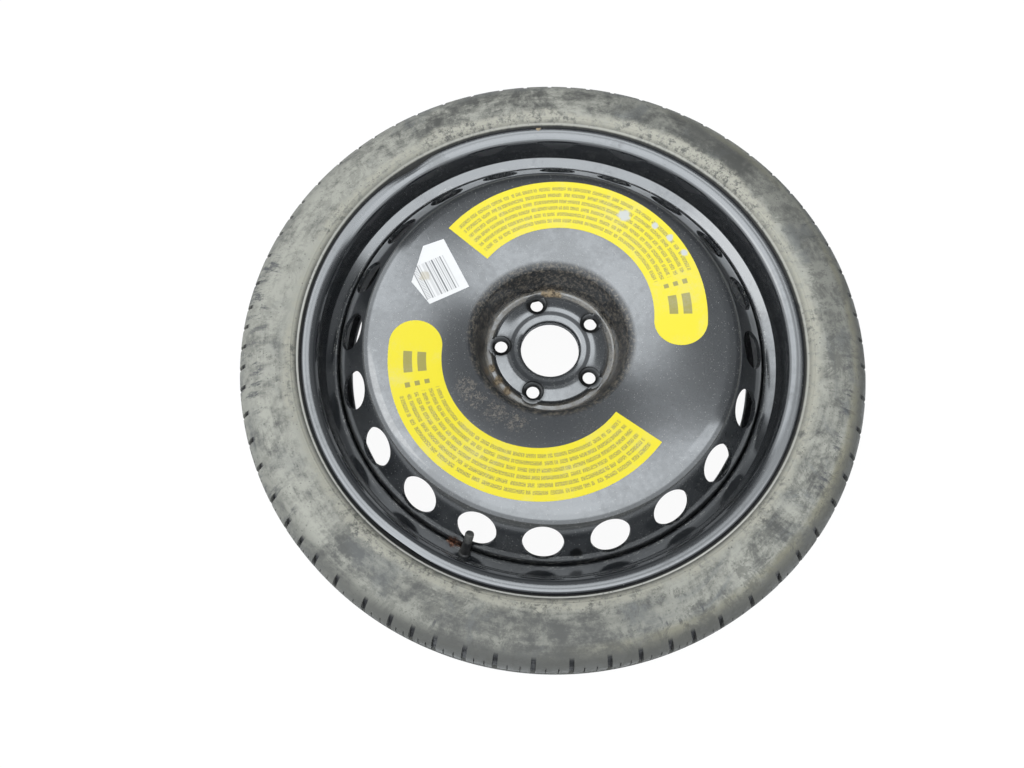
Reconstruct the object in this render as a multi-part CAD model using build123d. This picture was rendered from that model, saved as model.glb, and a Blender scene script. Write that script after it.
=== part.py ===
"""Temporary spare wheel lying on its side, outer face up.

The origin is the centre of the bolt circle, above the ring that rests on the hub,
and +Z is the wheel axis, pointing to the outer face. All sizes are in millimetres.
"""

import os
from math import cos, radians, sin, tan

from build123d import *

# Rim strip
SEAT_DIA = 512.8
RIM_WIDTH = 101.6
FLANGE_HEIGHT = 17.3
FLANGE_LIP = 11.0
FLANGE_CURL_R = 9.5
BEAD_HEEL_R = 6.5
RIM_GAUGE = 2.8
OFFSET = 20.0
LEDGE_R = 242.0
LEDGE_TOP = 18.9
LEDGE_BOTTOM = -8.0
WELL_R = 233.6
WELL_TOP = -15.0
WELL_BOTTOM = -21.0
INNER_SEAT_TOP = -32.0
RIM_FLANK_DEG = 40.0
RIM_BEND_R = 3.0
LIP_ROUND = 1.1

# Pressed disc
DISC_GAUGE = 4.0
BORE_R = 33.25
COLLAR_BEND_R = 3.0
CONTACT_DROP = 6.0
DOME_INSET = 3.0
DOME_RUN = 10.5
DOME_RISE = 1.2
DOME_BEND_R = 40.0
STEP_RUN = 2.5
STEP_TOP_BEND_R = 4.0
STEP_FOOT_BEND_R = 3.0
CONTACT_RUN = 9.5
WALL_FOOT_BEND_R = 5.0
WALL_RUN = 11.0
CROWN_INNER_BEND_R = 9.0
CROWN_EDGE_R = 199.2
CROWN_EDGE_BEND_R = 18.0
CROWN_DIP_DEG = 7.0
FLANK_DEG = 48.5
SKIRT_BEND_R = 38.0
SKIRT_BOTTOM = -22.0
DISC_FIT = 0.05

# Vents in the disc's flank, at the middle of the sheet
VENT_COUNT = 20
VENT_HOLE_R = 21.4
VENT_R = 221.5
VENT_Z = 25.0

# Wheel bolt seats, each in a round recess
BOLT_COUNT = 5
BOLT_PCD = 112.0
BOLT_HOLE_R = 7.25
BOLT_FIRST_DEG = 18.0
SEAT_BALL_R = 14.0
SEAT_DEPTH = 2.0
SEAT_FLOOR = 3.4
RECESS_R = 12.3
CUP_R = 14.0
CUP_BOTTOM = -0.8

# Weld beads that join the skirt to the rim
WELD_COUNT = 8
WELD_SWEEP_DEG = 22.0
WELD_LEG = 3.4

# Tyre
TYRE_DIA = 696.5
TYRE_WIDTH = 145.0
TREAD_HALF = 40.0
TREAD_DROP = 3.0
BULGE_R = 299.0
TREAD_THICK = 11.0
WALL_THICK = 6.5
BEAD_TOE = 34.0
BEAD_THICK = 13.0
BEAD_FIT = 0.1
CLINCH_DEG = 58.0
CLINCH_PULL = 16.0
BULGE_PULL = 14.0
GROOVE_Z = (-26.0, 0.0, 26.0)
GROOVE_WIDTH = 8.0
GROOVE_DEPTH = 4.0
SLOT_WIDTH = 4.0
SLOT_DEPTH = 4.0
SLOT_INNER = 29.0
SLOT_OUTER = 62.0
SLOT_FALL = 10.0
PITCH_SHARES = {"S": 4.06, "M": 5.15, "L": 6.21}
PITCH_ORDER = "SSSMMMLMSSMLMSSMMLLLMMSMLLMMLMSMLLMMSMLMSSMLLMMSMLMSSMMLLLMMSMLMSSMLMS"
PITCH_START_DEG = -197.12

# Snap-in valve, measured along its own axis from the rim's face
VALVE_DEG = -127.0
VALVE_UP_FLANK = 7.6
VALVE_HOLE_R = 5.75
VALVE_FIT = 0.1
VALVE_FLANGE_R = 6.3
VALVE_FLANGE_THICK = 1.4
VALVE_NECK_R = 5.1
VALVE_TIP_R = 4.75
VALVE_RUBBER_TOP = 18.5
VALVE_HEAD_R = 8.4
VALVE_HEAD_DEEP = 9.0
STEM_R = 3.85
STEM_SHANK_R = 3.2
STEM_TOP = 27.0
STEM_BOTTOM = -9.0
STEM_AIR_R = 1.4
CHAMBER_R = 2.6
CHAMBER_BOTTOM = 4.0
CORE_FIT = 0.06
CORE_TOP = 25.6
CORE_BOTTOM = 10.0
CORE_BORE_R = 1.6
CORE_END_THICK = 1.2
GASKET_BOTTOM = 16.0
GASKET_THICK = 1.6
GASKET_DEEP = 0.5
PIN_R = 0.7
PIN_FIT = 0.06
PIN_COLLAR_R = 1.5
PIN_COLLAR_THICK = 0.8
PIN_CUP_R = 2.1
PIN_CUP_THICK = 0.9
CUP_SEAL_THICK = 0.6
SPRING_WIRE_R = 0.16
SPRING_COIL_R = 1.15
SPRING_TURNS = 6
CAP_R = 4.75
CAP_LENGTH = 11.0
CAP_WALL = 1.4
CAP_FIT = 0.08
CAP_SEAL_THICK = 0.8
CAP_EDGE_R = 0.9
CAP_RIBS = 16
CAP_RIB_R = 0.35

# Stickers on the crown
FILM = 0.2
FILM_GAP = 0.05
STICKER_INNER_R = 104.0
STICKER_OUTER_R = 161.0
STICKER_SWEEP_DEG = 147.0
UPPER_STICKER = (17.0, 25.0, -21.0)
LOWER_STICKER = (-21.0, -19.0, 160.0)
STOCK_CORNERS = ((-86.5, 143.5), (-72.5, 81.0), (-120.0, 70.0), (-133.5, 100.0), (-111.0, 140.0))


def slope(degrees):
    """Rise over run of a slope."""
    return tan(radians(degrees))


def polar(radius, degrees):
    """Point on a circle round the wheel axis."""
    return radius * cos(radians(degrees)), radius * sin(radians(degrees))


def ring(section, sweep=360.0):
    """Solid swept round the Z axis by a section drawn as (radius, height)."""
    return revolve(Plane.XZ * section, Axis.Z, revolution_arc=sweep)


def outline(*points):
    """Face bounded by straight lines."""
    return make_face(Polyline(*points, close=True))


# Radii and heights that several pieces share
rim_z = -OFFSET
seat_r = SEAT_DIA / 2
lip_r = seat_r + FLANGE_HEIGHT
half_rim = RIM_WIDTH / 2
crown_edge_z = VENT_Z + (VENT_R - CROWN_EDGE_R) * slope(FLANK_DEG)
dome_r = BOLT_PCD / 2 - DOME_INSET
dome_edge_r = dome_r + DOME_RUN
contact_r = dome_edge_r + STEP_RUN
wall_foot_r = contact_r + CONTACT_RUN
crown_inner_r = wall_foot_r + WALL_RUN
crown_inner_z = crown_edge_z - (CROWN_EDGE_R - crown_inner_r) * slope(CROWN_DIP_DEG)
hub_z = DISC_GAUGE / 2
contact_z = hub_z - CONTACT_DROP
skirt_r = LEDGE_R - DISC_FIT - DISC_GAUGE / 2


def rim_strip():
    """Rolled strip with two flanges, two bead seats, a ledge for the disc and a well."""
    half = RIM_GAUGE / 2
    top_r, seat, ledge, well = lip_r - half, seat_r - half, LEDGE_R + half, WELL_R + half
    flange = half_rim + half
    end = half_rim + FLANGE_LIP
    flank_top = LEDGE_TOP + (seat - ledge) * slope(RIM_FLANK_DEG)
    points = [
        (top_r, end), (top_r, flange), (seat, flange), (seat, flank_top), (ledge, LEDGE_TOP),
        (ledge, LEDGE_BOTTOM), (well, WELL_TOP), (well, WELL_BOTTOM), (seat, INNER_SEAT_TOP),
        (seat, -flange), (top_r, -flange), (top_r, -end),
    ]
    curl, heel = FLANGE_CURL_R - half, BEAD_HEEL_R + half
    bends = [curl, heel] + [RIM_BEND_R] * 6 + [heel, curl]
    strip = ring(trace(FilletPolyline(*points, radius=bends), line_width=RIM_GAUGE))
    lips = strip.edges().group_by(Axis.Z)
    strip = fillet(lips[0] + lips[-1], LIP_ROUND)
    return Pos(0, 0, rim_z) * strip


def valve_place():
    """Location on the rim's flank whose Z axis is the valve's axis."""
    tilt = radians(RIM_FLANK_DEG)
    half = RIM_GAUGE / 2
    radius = LEDGE_R + half + VALVE_UP_FLANK * cos(tilt) - half * sin(tilt)
    height = rim_z + LEDGE_TOP + VALVE_UP_FLANK * sin(tilt) + half * cos(tilt)
    turned = Rot(0, 0, VALVE_DEG) * Pos(radius, 0, height)
    return turned * Rot(0, -RIM_FLANK_DEG, 0)


def disc_blank():
    """Pressed blank: bore collar, hub dome, contact ring, wall, crown, flank and skirt."""
    skirt_top = VENT_Z - (skirt_r - VENT_R) * slope(FLANK_DEG)
    points = [
        (BORE_R + DISC_GAUGE / 2, -CONTACT_DROP), (BORE_R + DISC_GAUGE / 2, hub_z),
        (dome_r, hub_z + DOME_RISE), (dome_edge_r, hub_z), (contact_r, contact_z),
        (wall_foot_r, contact_z), (crown_inner_r, crown_inner_z), (CROWN_EDGE_R, crown_edge_z),
        (skirt_r, skirt_top), (skirt_r, SKIRT_BOTTOM),
    ]
    bends = [
        COLLAR_BEND_R, DOME_BEND_R, STEP_TOP_BEND_R, STEP_FOOT_BEND_R, WALL_FOOT_BEND_R,
        CROWN_INNER_BEND_R, CROWN_EDGE_BEND_R, SKIRT_BEND_R,
    ]
    return ring(trace(FilletPolyline(*points, radius=bends), line_width=DISC_GAUGE))


def bolt_angles():
    """Angles of the bolt holes."""
    return [BOLT_FIRST_DEG + 360.0 / BOLT_COUNT * i for i in range(BOLT_COUNT)]


def wheel_disc():
    """Disc with its vents and recessed bolt seats."""
    cup = ring(outline((0, CUP_BOTTOM), (CUP_R, CUP_BOTTOM), (CUP_R, SEAT_FLOOR), (0, SEAT_FLOOR)))
    sky = SEAT_FLOOR + SEAT_BALL_R
    ball_z = SEAT_FLOOR - SEAT_DEPTH + (SEAT_BALL_R ** 2 - BOLT_HOLE_R ** 2) ** 0.5
    hole = ring(outline((0, SEAT_FLOOR), (RECESS_R, SEAT_FLOOR), (RECESS_R, sky), (0, sky)))
    hole += Cylinder(BOLT_HOLE_R, 4 * DISC_GAUGE)
    hole += Pos(0, 0, ball_z) * Sphere(SEAT_BALL_R)
    cups = [Pos(*polar(BOLT_PCD / 2, angle)) * cup for angle in bolt_angles()]
    bolt_holes = [Pos(*polar(BOLT_PCD / 2, angle)) * hole for angle in bolt_angles()]
    vent = Pos(VENT_R, 0, VENT_Z) * Rot(0, FLANK_DEG, 0) * Cylinder(VENT_HOLE_R, 8 * DISC_GAUGE)
    vents = [Rot(0, 0, 360.0 / VENT_COUNT * i) * vent for i in range(VENT_COUNT)]
    return disc_blank() + cups - bolt_holes - vents


def weld_beads():
    """Fillet welds in the corner between the skirt's end and the rim's ledge."""
    toe_r = LEDGE_R - DISC_FIT
    bead = ring(outline((toe_r, SKIRT_BOTTOM), (toe_r - WELD_LEG, SKIRT_BOTTOM),
                        (toe_r, SKIRT_BOTTOM - WELD_LEG)), WELD_SWEEP_DEG)
    step = 360.0 / WELD_COUNT
    return Compound([Rot(0, 0, step * i) * bead for i in range(WELD_COUNT)])


def tyre_section():
    """Section of the tyre: tread, shoulders, sidewalls and beads round the air space."""
    crown_r, bulge_z = TYRE_DIA / 2, TYRE_WIDTH / 2
    shoulder_r = crown_r - TREAD_DROP
    base_r, face_z = seat_r + BEAD_FIT, half_rim - BEAD_FIT
    curl = FLANGE_CURL_R + BEAD_FIT
    curl_r, curl_z = lip_r - FLANGE_CURL_R, half_rim + FLANGE_CURL_R
    leave = radians(CLINCH_DEG)
    clinch = (curl_r + curl * sin(leave), curl_z - curl * cos(leave))
    clinch_out = (clinch[0] + CLINCH_PULL * cos(leave), clinch[1] + CLINCH_PULL * sin(leave))
    inner_r, inner_z = crown_r - TREAD_THICK, bulge_z - WALL_THICK
    toe = (base_r + BEAD_THICK / 2, BEAD_TOE)
    heel = BEAD_HEEL_R + BEAD_FIT
    half = make_face([
        Line((inner_r, 0), (crown_r, 0)),
        Bezier((crown_r, 0), (crown_r, TREAD_HALF / 2), (shoulder_r, TREAD_HALF)),
        EllipticalCenterArc((BULGE_R, TREAD_HALF), shoulder_r - BULGE_R, bulge_z - TREAD_HALF,
                            start_angle=0, arc_size=90),
        Bezier((BULGE_R, bulge_z), (BULGE_R - BULGE_PULL, bulge_z), clinch_out, clinch),
        CenterArc((curl_r, curl_z), curl, -90, CLINCH_DEG),
        Line((curl_r, face_z), (base_r + heel, face_z)),
        CenterArc((base_r + heel, face_z - heel), heel, 90, 90),
        Line((base_r, face_z - heel), (base_r, BEAD_TOE)),
        Line((base_r, BEAD_TOE), toe),
        Bezier(toe, (toe[0] + BEAD_THICK, BEAD_TOE), (BULGE_R - BEAD_THICK, inner_z), (BULGE_R, inner_z)),
        Bezier((BULGE_R, inner_z), (inner_r, inner_z), (inner_r, TREAD_HALF), (inner_r, 0)),
    ])
    return half + mirror(half, Plane.XZ)


def slot_angles():
    """Angles of the shoulder slots, in three pitch lengths mixed round the tread."""
    shares = [PITCH_SHARES[letter] for letter in PITCH_ORDER]
    scale = 360.0 / sum(shares)
    return [PITCH_START_DEG + scale * sum(shares[:i]) for i in range(len(shares))]


def tyre():
    """Tyre with straight grooves round the tread and slots across both shoulders."""
    crown_r = TYRE_DIA / 2
    section = tyre_section()
    for z in GROOVE_Z:
        section -= Pos(crown_r, z) * Rectangle(2 * GROOVE_DEPTH, GROOVE_WIDTH)
    floor_r = crown_r - SLOT_DEPTH
    outside = crown_r + SLOT_DEPTH
    blade = outline((floor_r, SLOT_INNER), (outside, SLOT_INNER), (outside, SLOT_OUTER),
                    (floor_r - SLOT_FALL, SLOT_OUTER))
    slot = extrude(Plane.XZ * blade, SLOT_WIDTH / 2, both=True)
    pair = [slot, mirror(slot, Plane.XY)]
    slots = [Rot(0, 0, angle) * side for angle in slot_angles() for side in pair]
    return Pos(0, 0, rim_z) * (ring(section) - slots)


def valve_body():
    """Rubber of the snap-in valve: head inside the tyre, groove for the rim, flange and neck."""
    groove_r = VALVE_HOLE_R - VALVE_FIT
    back = -RIM_GAUGE - VALVE_FIT
    deep = back - VALVE_HEAD_DEEP
    shank_r = STEM_SHANK_R + VALVE_FIT / 2
    cone = VALVE_HEAD_R - VALVE_FLANGE_R
    flange_top = VALVE_FIT + VALVE_FLANGE_THICK
    section = outline(
        (shank_r, deep), (VALVE_FLANGE_R, deep), (VALVE_HEAD_R, deep + cone),
        (VALVE_HEAD_R, back - 2 * cone), (VALVE_HOLE_R + VALVE_FIT, back), (groove_r, back),
        (groove_r, VALVE_FIT), (VALVE_FLANGE_R, VALVE_FIT), (VALVE_FLANGE_R, flange_top),
        (VALVE_NECK_R, flange_top + VALVE_FLANGE_R - VALVE_NECK_R), (VALVE_TIP_R, VALVE_RUBBER_TOP),
        (shank_r, VALVE_RUBBER_TOP))
    return ring(section)


def valve_stem():
    """Brass stem: shank in the rubber, threaded end for the cap and a chamber for the core."""
    shoulder = VALVE_RUBBER_TOP + VALVE_FIT
    section = outline(
        (STEM_AIR_R, STEM_BOTTOM), (STEM_SHANK_R, STEM_BOTTOM), (STEM_SHANK_R, shoulder),
        (STEM_R, shoulder), (STEM_R, STEM_TOP), (CHAMBER_R, STEM_TOP), (CHAMBER_R, CHAMBER_BOTTOM),
        (STEM_AIR_R, CHAMBER_BOTTOM))
    return ring(section)


def core_body():
    """Barrel of the valve core with an end plate at each end and a groove for the gasket."""
    outer = CHAMBER_R - CORE_FIT
    groove = outer - GASKET_DEEP
    guide = PIN_R + PIN_FIT
    section = outline(
        (guide, CORE_BOTTOM), (outer, CORE_BOTTOM), (outer, GASKET_BOTTOM), (groove, GASKET_BOTTOM),
        (groove, GASKET_BOTTOM + GASKET_THICK), (outer, GASKET_BOTTOM + GASKET_THICK),
        (outer, CORE_TOP), (CORE_BORE_R, CORE_TOP), (CORE_BORE_R, CORE_BOTTOM + CORE_END_THICK),
        (guide, CORE_BOTTOM + CORE_END_THICK))
    return ring(section)


def core_gasket():
    """Seal ring in the groove of the barrel."""
    outer = CHAMBER_R - CORE_FIT / 2
    inner = CHAMBER_R - CORE_FIT - GASKET_DEEP + CORE_FIT / 2
    margin = CORE_FIT / 2
    return ring(outline(
        (inner, GASKET_BOTTOM + margin), (outer, GASKET_BOTTOM + margin),
        (outer, GASKET_BOTTOM + GASKET_THICK - margin), (inner, GASKET_BOTTOM + GASKET_THICK - margin)))


def core_pin():
    """Pin that opens the valve: rod, spring collar near its head and cup below the barrel."""
    cup_top = CORE_BOTTOM - CUP_SEAL_THICK - 2 * PIN_FIT
    collar_top = CORE_TOP - PIN_COLLAR_THICK
    return ring(outline(
        (0, cup_top - PIN_CUP_THICK), (PIN_CUP_R, cup_top - PIN_CUP_THICK), (PIN_CUP_R, cup_top),
        (PIN_R, cup_top), (PIN_R, collar_top - PIN_COLLAR_THICK),
        (PIN_COLLAR_R, collar_top - PIN_COLLAR_THICK), (PIN_COLLAR_R, collar_top),
        (PIN_R, collar_top), (PIN_R, CORE_TOP), (0, CORE_TOP)))


def cup_seal():
    """Rubber ring on the cup that closes against the barrel's lower end."""
    top = CORE_BOTTOM - PIN_FIT
    return ring(outline((PIN_R + PIN_FIT, top - CUP_SEAL_THICK), (PIN_CUP_R, top - CUP_SEAL_THICK),
                        (PIN_CUP_R, top), (PIN_R + PIN_FIT, top)))


def core_spring():
    """Coil between the barrel's lower end and the pin's collar."""
    bottom = CORE_BOTTOM + CORE_END_THICK + SPRING_WIRE_R + PIN_FIT
    top = CORE_TOP - 2 * PIN_COLLAR_THICK - SPRING_WIRE_R - PIN_FIT
    path = Pos(0, 0, bottom) * Helix((top - bottom) / SPRING_TURNS, top - bottom, SPRING_COIL_R)
    wire = Plane(path @ 0, z_dir=path % 0) * Circle(SPRING_WIRE_R)
    return sweep(wire, path)


def cap_rest():
    """Height at which the cap's open end stands above the rubber."""
    return VALVE_RUBBER_TOP + VALVE_FIT + CAP_FIT


def valve_cap():
    """Screw cap with gripping ribs."""
    inner = STEM_R + CAP_FIT
    foot, top = cap_rest(), cap_rest() + CAP_LENGTH
    upright = (Align.CENTER, Align.CENTER, Align.MIN)
    cap = Pos(0, 0, foot) * Cylinder(CAP_R - CAP_RIB_R, CAP_LENGTH, align=upright)
    cap = fillet(cap.edges().group_by(Axis.Z)[-1], CAP_EDGE_R)
    rib = Pos(CAP_R - CAP_RIB_R, 0, foot) * Cylinder(CAP_RIB_R, CAP_LENGTH - 2 * CAP_EDGE_R, align=upright)
    cap += [Rot(0, 0, 360.0 / CAP_RIBS * i) * rib for i in range(CAP_RIBS)]
    hollow = ring(outline((0, foot), (inner, foot), (inner, top - CAP_WALL), (0, top - CAP_WALL)))
    return cap - hollow


def cap_seal():
    """Washer in the cap's closed end."""
    top = cap_rest() + CAP_LENGTH - CAP_WALL - CAP_FIT / 2
    return ring(outline((CHAMBER_R, top - CAP_SEAL_THICK), (STEM_R, top - CAP_SEAL_THICK),
                        (STEM_R, top), (CHAMBER_R, top)))


def crown_film():
    """Thin layer that follows the front of the crown."""
    dip = slope(CROWN_DIP_DEG)
    up = cos(radians(CROWN_DIP_DEG))
    under, over = ((DISC_GAUGE / 2 + FILM_GAP + layer) / up for layer in (0, FILM))
    inner, edge = (crown_inner_r, crown_inner_z), (CROWN_EDGE_R, crown_edge_z)
    return ring(outline((inner[0], inner[1] + under), (edge[0], edge[1] + under),
                        (edge[0], edge[1] + over), (inner[0], inner[1] + over)))


def curved_sticker(place):
    """Sticker along an arc, square at one end and round at the other."""
    x, y, start = place
    middle = (STICKER_INNER_R + STICKER_OUTER_R) / 2
    end_x, end_y = polar(middle, start)
    round_end = CenterArc((x + end_x, y + end_y), STICKER_OUTER_R - middle, start, -180)
    inner = CenterArc((x, y), STICKER_INNER_R, start, STICKER_SWEEP_DEG)
    outer = CenterArc((x, y), STICKER_OUTER_R, start, STICKER_SWEEP_DEG)
    return sticker(make_face([inner, Line(inner @ 1, outer @ 1), outer, round_end]))


def sticker(face):
    """Film cut to an outline on the crown."""
    return crown_film() & extrude(face, 2 * crown_edge_z)


def main():
    """Write each piece to its own file."""
    at_valve = valve_place()
    rim = rim_strip() - at_valve * Cylinder(VALVE_HOLE_R, 4 * RIM_GAUGE)
    pieces = {
        "tyre": tyre(),
        "rim": rim,
        "wheel_disc": wheel_disc(),
        "disc_weld_beads": weld_beads(),
        "valve_body": at_valve * valve_body(),
        "valve_stem": at_valve * valve_stem(),
        "valve_core_body": at_valve * core_body(),
        "valve_core_gasket": at_valve * core_gasket(),
        "valve_core_pin": at_valve * core_pin(),
        "valve_core_cup_seal": at_valve * cup_seal(),
        "valve_core_spring": at_valve * core_spring(),
        "valve_cap": at_valve * valve_cap(),
        "valve_cap_seal": at_valve * cap_seal(),
        "upper_sticker": curved_sticker(UPPER_STICKER),
        "lower_sticker": curved_sticker(LOWER_STICKER),
        "stock_sticker": sticker(outline(*STOCK_CORNERS)),
    }
    os.makedirs("parts", exist_ok=True)
    for name, shape in pieces.items():
        export_step(shape, f"parts/{name}.step")


main()
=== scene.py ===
"""Temporary spare wheel on a pale floor: fine meshes, finishes, soft light and camera.

Lengths are metres unless a name says mm. The frame is the wheel's own: the origin is
the centre of the bolt circle, 6 mm outboard of the ring that rests on the hub, and +Z is
the axis, towards the outer face.
"""

import logging
import math
from collections.abc import Callable, Sequence
from dataclasses import dataclass, field
from enum import Enum

import bmesh
import bpy
import numpy as np
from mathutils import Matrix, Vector


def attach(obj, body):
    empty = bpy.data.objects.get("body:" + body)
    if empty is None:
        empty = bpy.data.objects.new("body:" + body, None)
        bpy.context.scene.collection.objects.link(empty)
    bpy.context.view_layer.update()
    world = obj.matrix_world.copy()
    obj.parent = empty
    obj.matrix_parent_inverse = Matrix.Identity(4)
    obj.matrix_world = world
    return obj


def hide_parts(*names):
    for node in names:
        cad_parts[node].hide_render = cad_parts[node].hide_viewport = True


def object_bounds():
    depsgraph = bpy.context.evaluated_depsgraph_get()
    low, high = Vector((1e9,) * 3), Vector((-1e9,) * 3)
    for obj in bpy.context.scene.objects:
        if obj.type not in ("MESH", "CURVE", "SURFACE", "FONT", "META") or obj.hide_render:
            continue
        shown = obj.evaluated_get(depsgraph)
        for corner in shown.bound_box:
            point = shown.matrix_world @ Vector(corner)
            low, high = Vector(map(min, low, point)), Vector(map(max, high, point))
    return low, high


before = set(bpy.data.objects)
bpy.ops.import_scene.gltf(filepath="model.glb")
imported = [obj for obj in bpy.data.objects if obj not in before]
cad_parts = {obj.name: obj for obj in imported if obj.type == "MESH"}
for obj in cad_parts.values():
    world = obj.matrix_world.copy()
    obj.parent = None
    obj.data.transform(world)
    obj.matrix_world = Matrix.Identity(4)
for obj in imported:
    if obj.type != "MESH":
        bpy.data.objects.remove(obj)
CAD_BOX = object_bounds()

MM = 0.001
LOG = logging.getLogger("spare_wheel")
Point = tuple[float, float]
Colour = tuple[float, float, float]
Triple = tuple[float, float, float]
Spots = tuple[tuple[float, float, float, float], ...]
Socket = bpy.types.NodeSocket
Source = Socket | float | tuple


class Body(str, Enum):
    """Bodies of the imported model."""

    WHEEL = "wheel"
    CAP = "cap"
    CAP_SEAL = "cap_seal"
    CORE_PIN = "core_pin"


class Cut(Enum):
    """What a column of the tyre's mesh cuts across the shoulder."""

    NONE = 0
    SLOT = 1
    SIPE = 2


class Shader:
    """Short calls that add and join the nodes of one tree."""

    def __init__(self, tree: bpy.types.NodeTree) -> None:
        """Keep the tree that the calls add to."""
        self.tree = tree

    def node(self, kind: str, **settings: object) -> bpy.types.Node:
        """Add a node.

        Args:
            kind: Blender's name of the node's type.
            settings: attributes to set on it.

        Returns:
            The new node.
        """
        node = self.tree.nodes.new(kind)
        for name, value in settings.items():
            setattr(node, name, value)
        return node

    def feed(self, socket: Socket, value: Source) -> None:
        """Join a socket to another, or set it to a constant.

        Args:
            socket: input to feed.
            value: output socket, number, colour or vector.
        """
        if isinstance(value, bpy.types.NodeSocket):
            self.tree.links.new(value, socket)
        elif socket.type == "RGBA":
            socket.default_value = (*value, 1.0)
        else:
            socket.default_value = value

    def math(self, operation: str, first: Source, second: Source = 0.0) -> Socket:
        """Add one sum on numbers.

        Args:
            operation: Blender's name of the sum.
            first: first term.
            second: second term.

        Returns:
            The result's socket.
        """
        node = self.node("ShaderNodeMath", operation=operation)
        self.feed(node.inputs[0], first)
        self.feed(node.inputs[1], second)
        return node.outputs[0]

    def product(self, *terms: Source) -> Socket:
        """Multiply several terms.

        Args:
            terms: numbers or sockets, two or more.

        Returns:
            The product's socket.
        """
        result = terms[0]
        for term in terms[1:]:
            result = self.math("MULTIPLY", result, term)
        return result

    def inverse(self, value: Source) -> Socket:
        """Return one minus a value."""
        return self.math("SUBTRACT", 1.0, value)

    def apart(self, first: Source, second: Source) -> Socket:
        """Return how far two values lie apart."""
        return self.math("ABSOLUTE", self.math("SUBTRACT", first, second))

    def place(self) -> Socket:
        """Return the place on the object, in metres."""
        return self.node("ShaderNodeTexCoord").outputs["Object"]

    def fade(self, value: Source, start: float, end: float, low: float = 0.0, high: float = 1.0) -> Socket:
        """Fade smoothly from one level to another as a value grows.

        Args:
            value: what drives the fade.
            start: value at which the fade begins.
            end: value at which it ends.
            low: level before the start.
            high: level after the end.

        Returns:
            The level's socket.
        """
        node = self.node("ShaderNodeMapRange", interpolation_type="SMOOTHSTEP")
        self.feed(node.inputs["Value"], value)
        for name, number in (("From Min", start), ("From Max", end), ("To Min", low), ("To Max", high)):
            node.inputs[name].default_value = number
        return node.outputs["Result"]

    def mix(self, factor: Source, first: Source, second: Source) -> Socket:
        """Mix two colours.

        Args:
            factor: share of the second colour.
            first: colour at 0.
            second: colour at 1.

        Returns:
            The mixed colour's socket.
        """
        node = self.node("ShaderNodeMix", data_type="RGBA")
        self.feed(node.inputs["Factor"], factor)
        self.feed(node.inputs[6], first)
        self.feed(node.inputs[7], second)
        return node.outputs[2]

    def noise(self, vector: Source, scale: float, detail: float = 4.0, rough: float = 0.55,
              twist: float = 0.0) -> Socket:
        """Add a noise field.

        Args:
            vector: place at which it is read.
            scale: cells per metre.
            detail: octaves.
            rough: weight of the fine octaves.
            twist: distortion.

        Returns:
            The field's socket, about 0 to 1.
        """
        node = self.node("ShaderNodeTexNoise")
        self.feed(node.inputs["Vector"], vector)
        values = {"Scale": scale, "Detail": detail, "Roughness": rough, "Distortion": twist}
        for name, number in values.items():
            self.feed(node.inputs[name], number)
        return node.outputs["Fac"]

    def dot(self, first: Source, second: Source) -> Socket:
        """Multiply two vectors.

        Args:
            first: one vector.
            second: the other vector.

        Returns:
            The dot product's socket.
        """
        node = self.node("ShaderNodeVectorMath", operation="DOT_PRODUCT")
        self.feed(node.inputs[0], first)
        self.feed(node.inputs[1], second)
        return node.outputs["Value"]

    def vector(self, x: Source, y: Source, z: Source) -> Socket:
        """Join three numbers into a vector.

        Args:
            x: first number.
            y: second number.
            z: third number.

        Returns:
            The vector's socket.
        """
        node = self.node("ShaderNodeCombineXYZ")
        for socket, value in zip(node.inputs, (x, y, z)):
            self.feed(socket, value)
        return node.outputs[0]

    def effect(self, effect: "Effect", **values: Source) -> bpy.types.Node:
        """Place a shared effect and set its named inputs.

        Args:
            effect: which effect.
            values: input values, with underscores for spaces.

        Returns:
            The group's node.
        """
        node = self.node("ShaderNodeGroup")
        node.node_tree = effect_tree(effect)
        for name, value in values.items():
            self.feed(node.inputs[name.replace("_", " ")], value)
        return node

    def bump(self, height: Source, strength: float, depth: float) -> Socket:
        """Turn a height field into a normal.

        Args:
            height: field, about 0 to 1.
            strength: share of the effect.
            depth: height in metres that 1 stands for.

        Returns:
            The normal's socket.
        """
        node = self.node("ShaderNodeBump")
        node.inputs["Strength"].default_value = strength
        node.inputs["Distance"].default_value = depth
        self.feed(node.inputs["Height"], height)
        return node.outputs["Normal"]


class Effect(str, Enum):
    """Shared shader effects."""

    POLAR = "wheel polar"
    DUST = "dust film"
    SPECKS = "specks"
    SCRATCHES = "scratches"
    SPOT = "ragged spot"
    GRAIN = "fine grain"


def polar_effect(shader: Shader, inputs: bpy.types.NodeOutputs) -> dict[str, Socket]:
    """Place on the wheel as radius in mm, angle in turns and height in mm.

    Args:
        shader: builder of the group's tree.
        inputs: the group's inputs: a centre in mm.

    Returns:
        Output sockets by name.
    """
    place = shader.place()
    split = shader.node("ShaderNodeSeparateXYZ")
    shader.feed(split.inputs[0], place)
    x, y, z = (shader.math("MULTIPLY", socket, 1 / MM) for socket in split.outputs)
    x = shader.math("SUBTRACT", x, inputs["Centre X"])
    y = shader.math("SUBTRACT", y, inputs["Centre Y"])
    radius = shader.math("SQRT", shader.math("ADD", shader.product(x, x), shader.product(y, y)))
    turn = shader.math("DIVIDE", shader.math("ARCTAN2", y, x), math.tau)
    east, north = shader.math("DIVIDE", x, radius), shader.math("DIVIDE", y, radius)
    around = shader.vector(east, north, shader.math("MULTIPLY", radius, 0.05))
    spokes = shader.vector(east, north, shader.math("MULTIPLY", radius, 0.001))
    return {"Radius": radius, "Turn": turn, "Height": z, "Place": place, "Round": around, "Spokes": spokes,
            "Outward": shader.vector(east, north, 0.0)}


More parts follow.
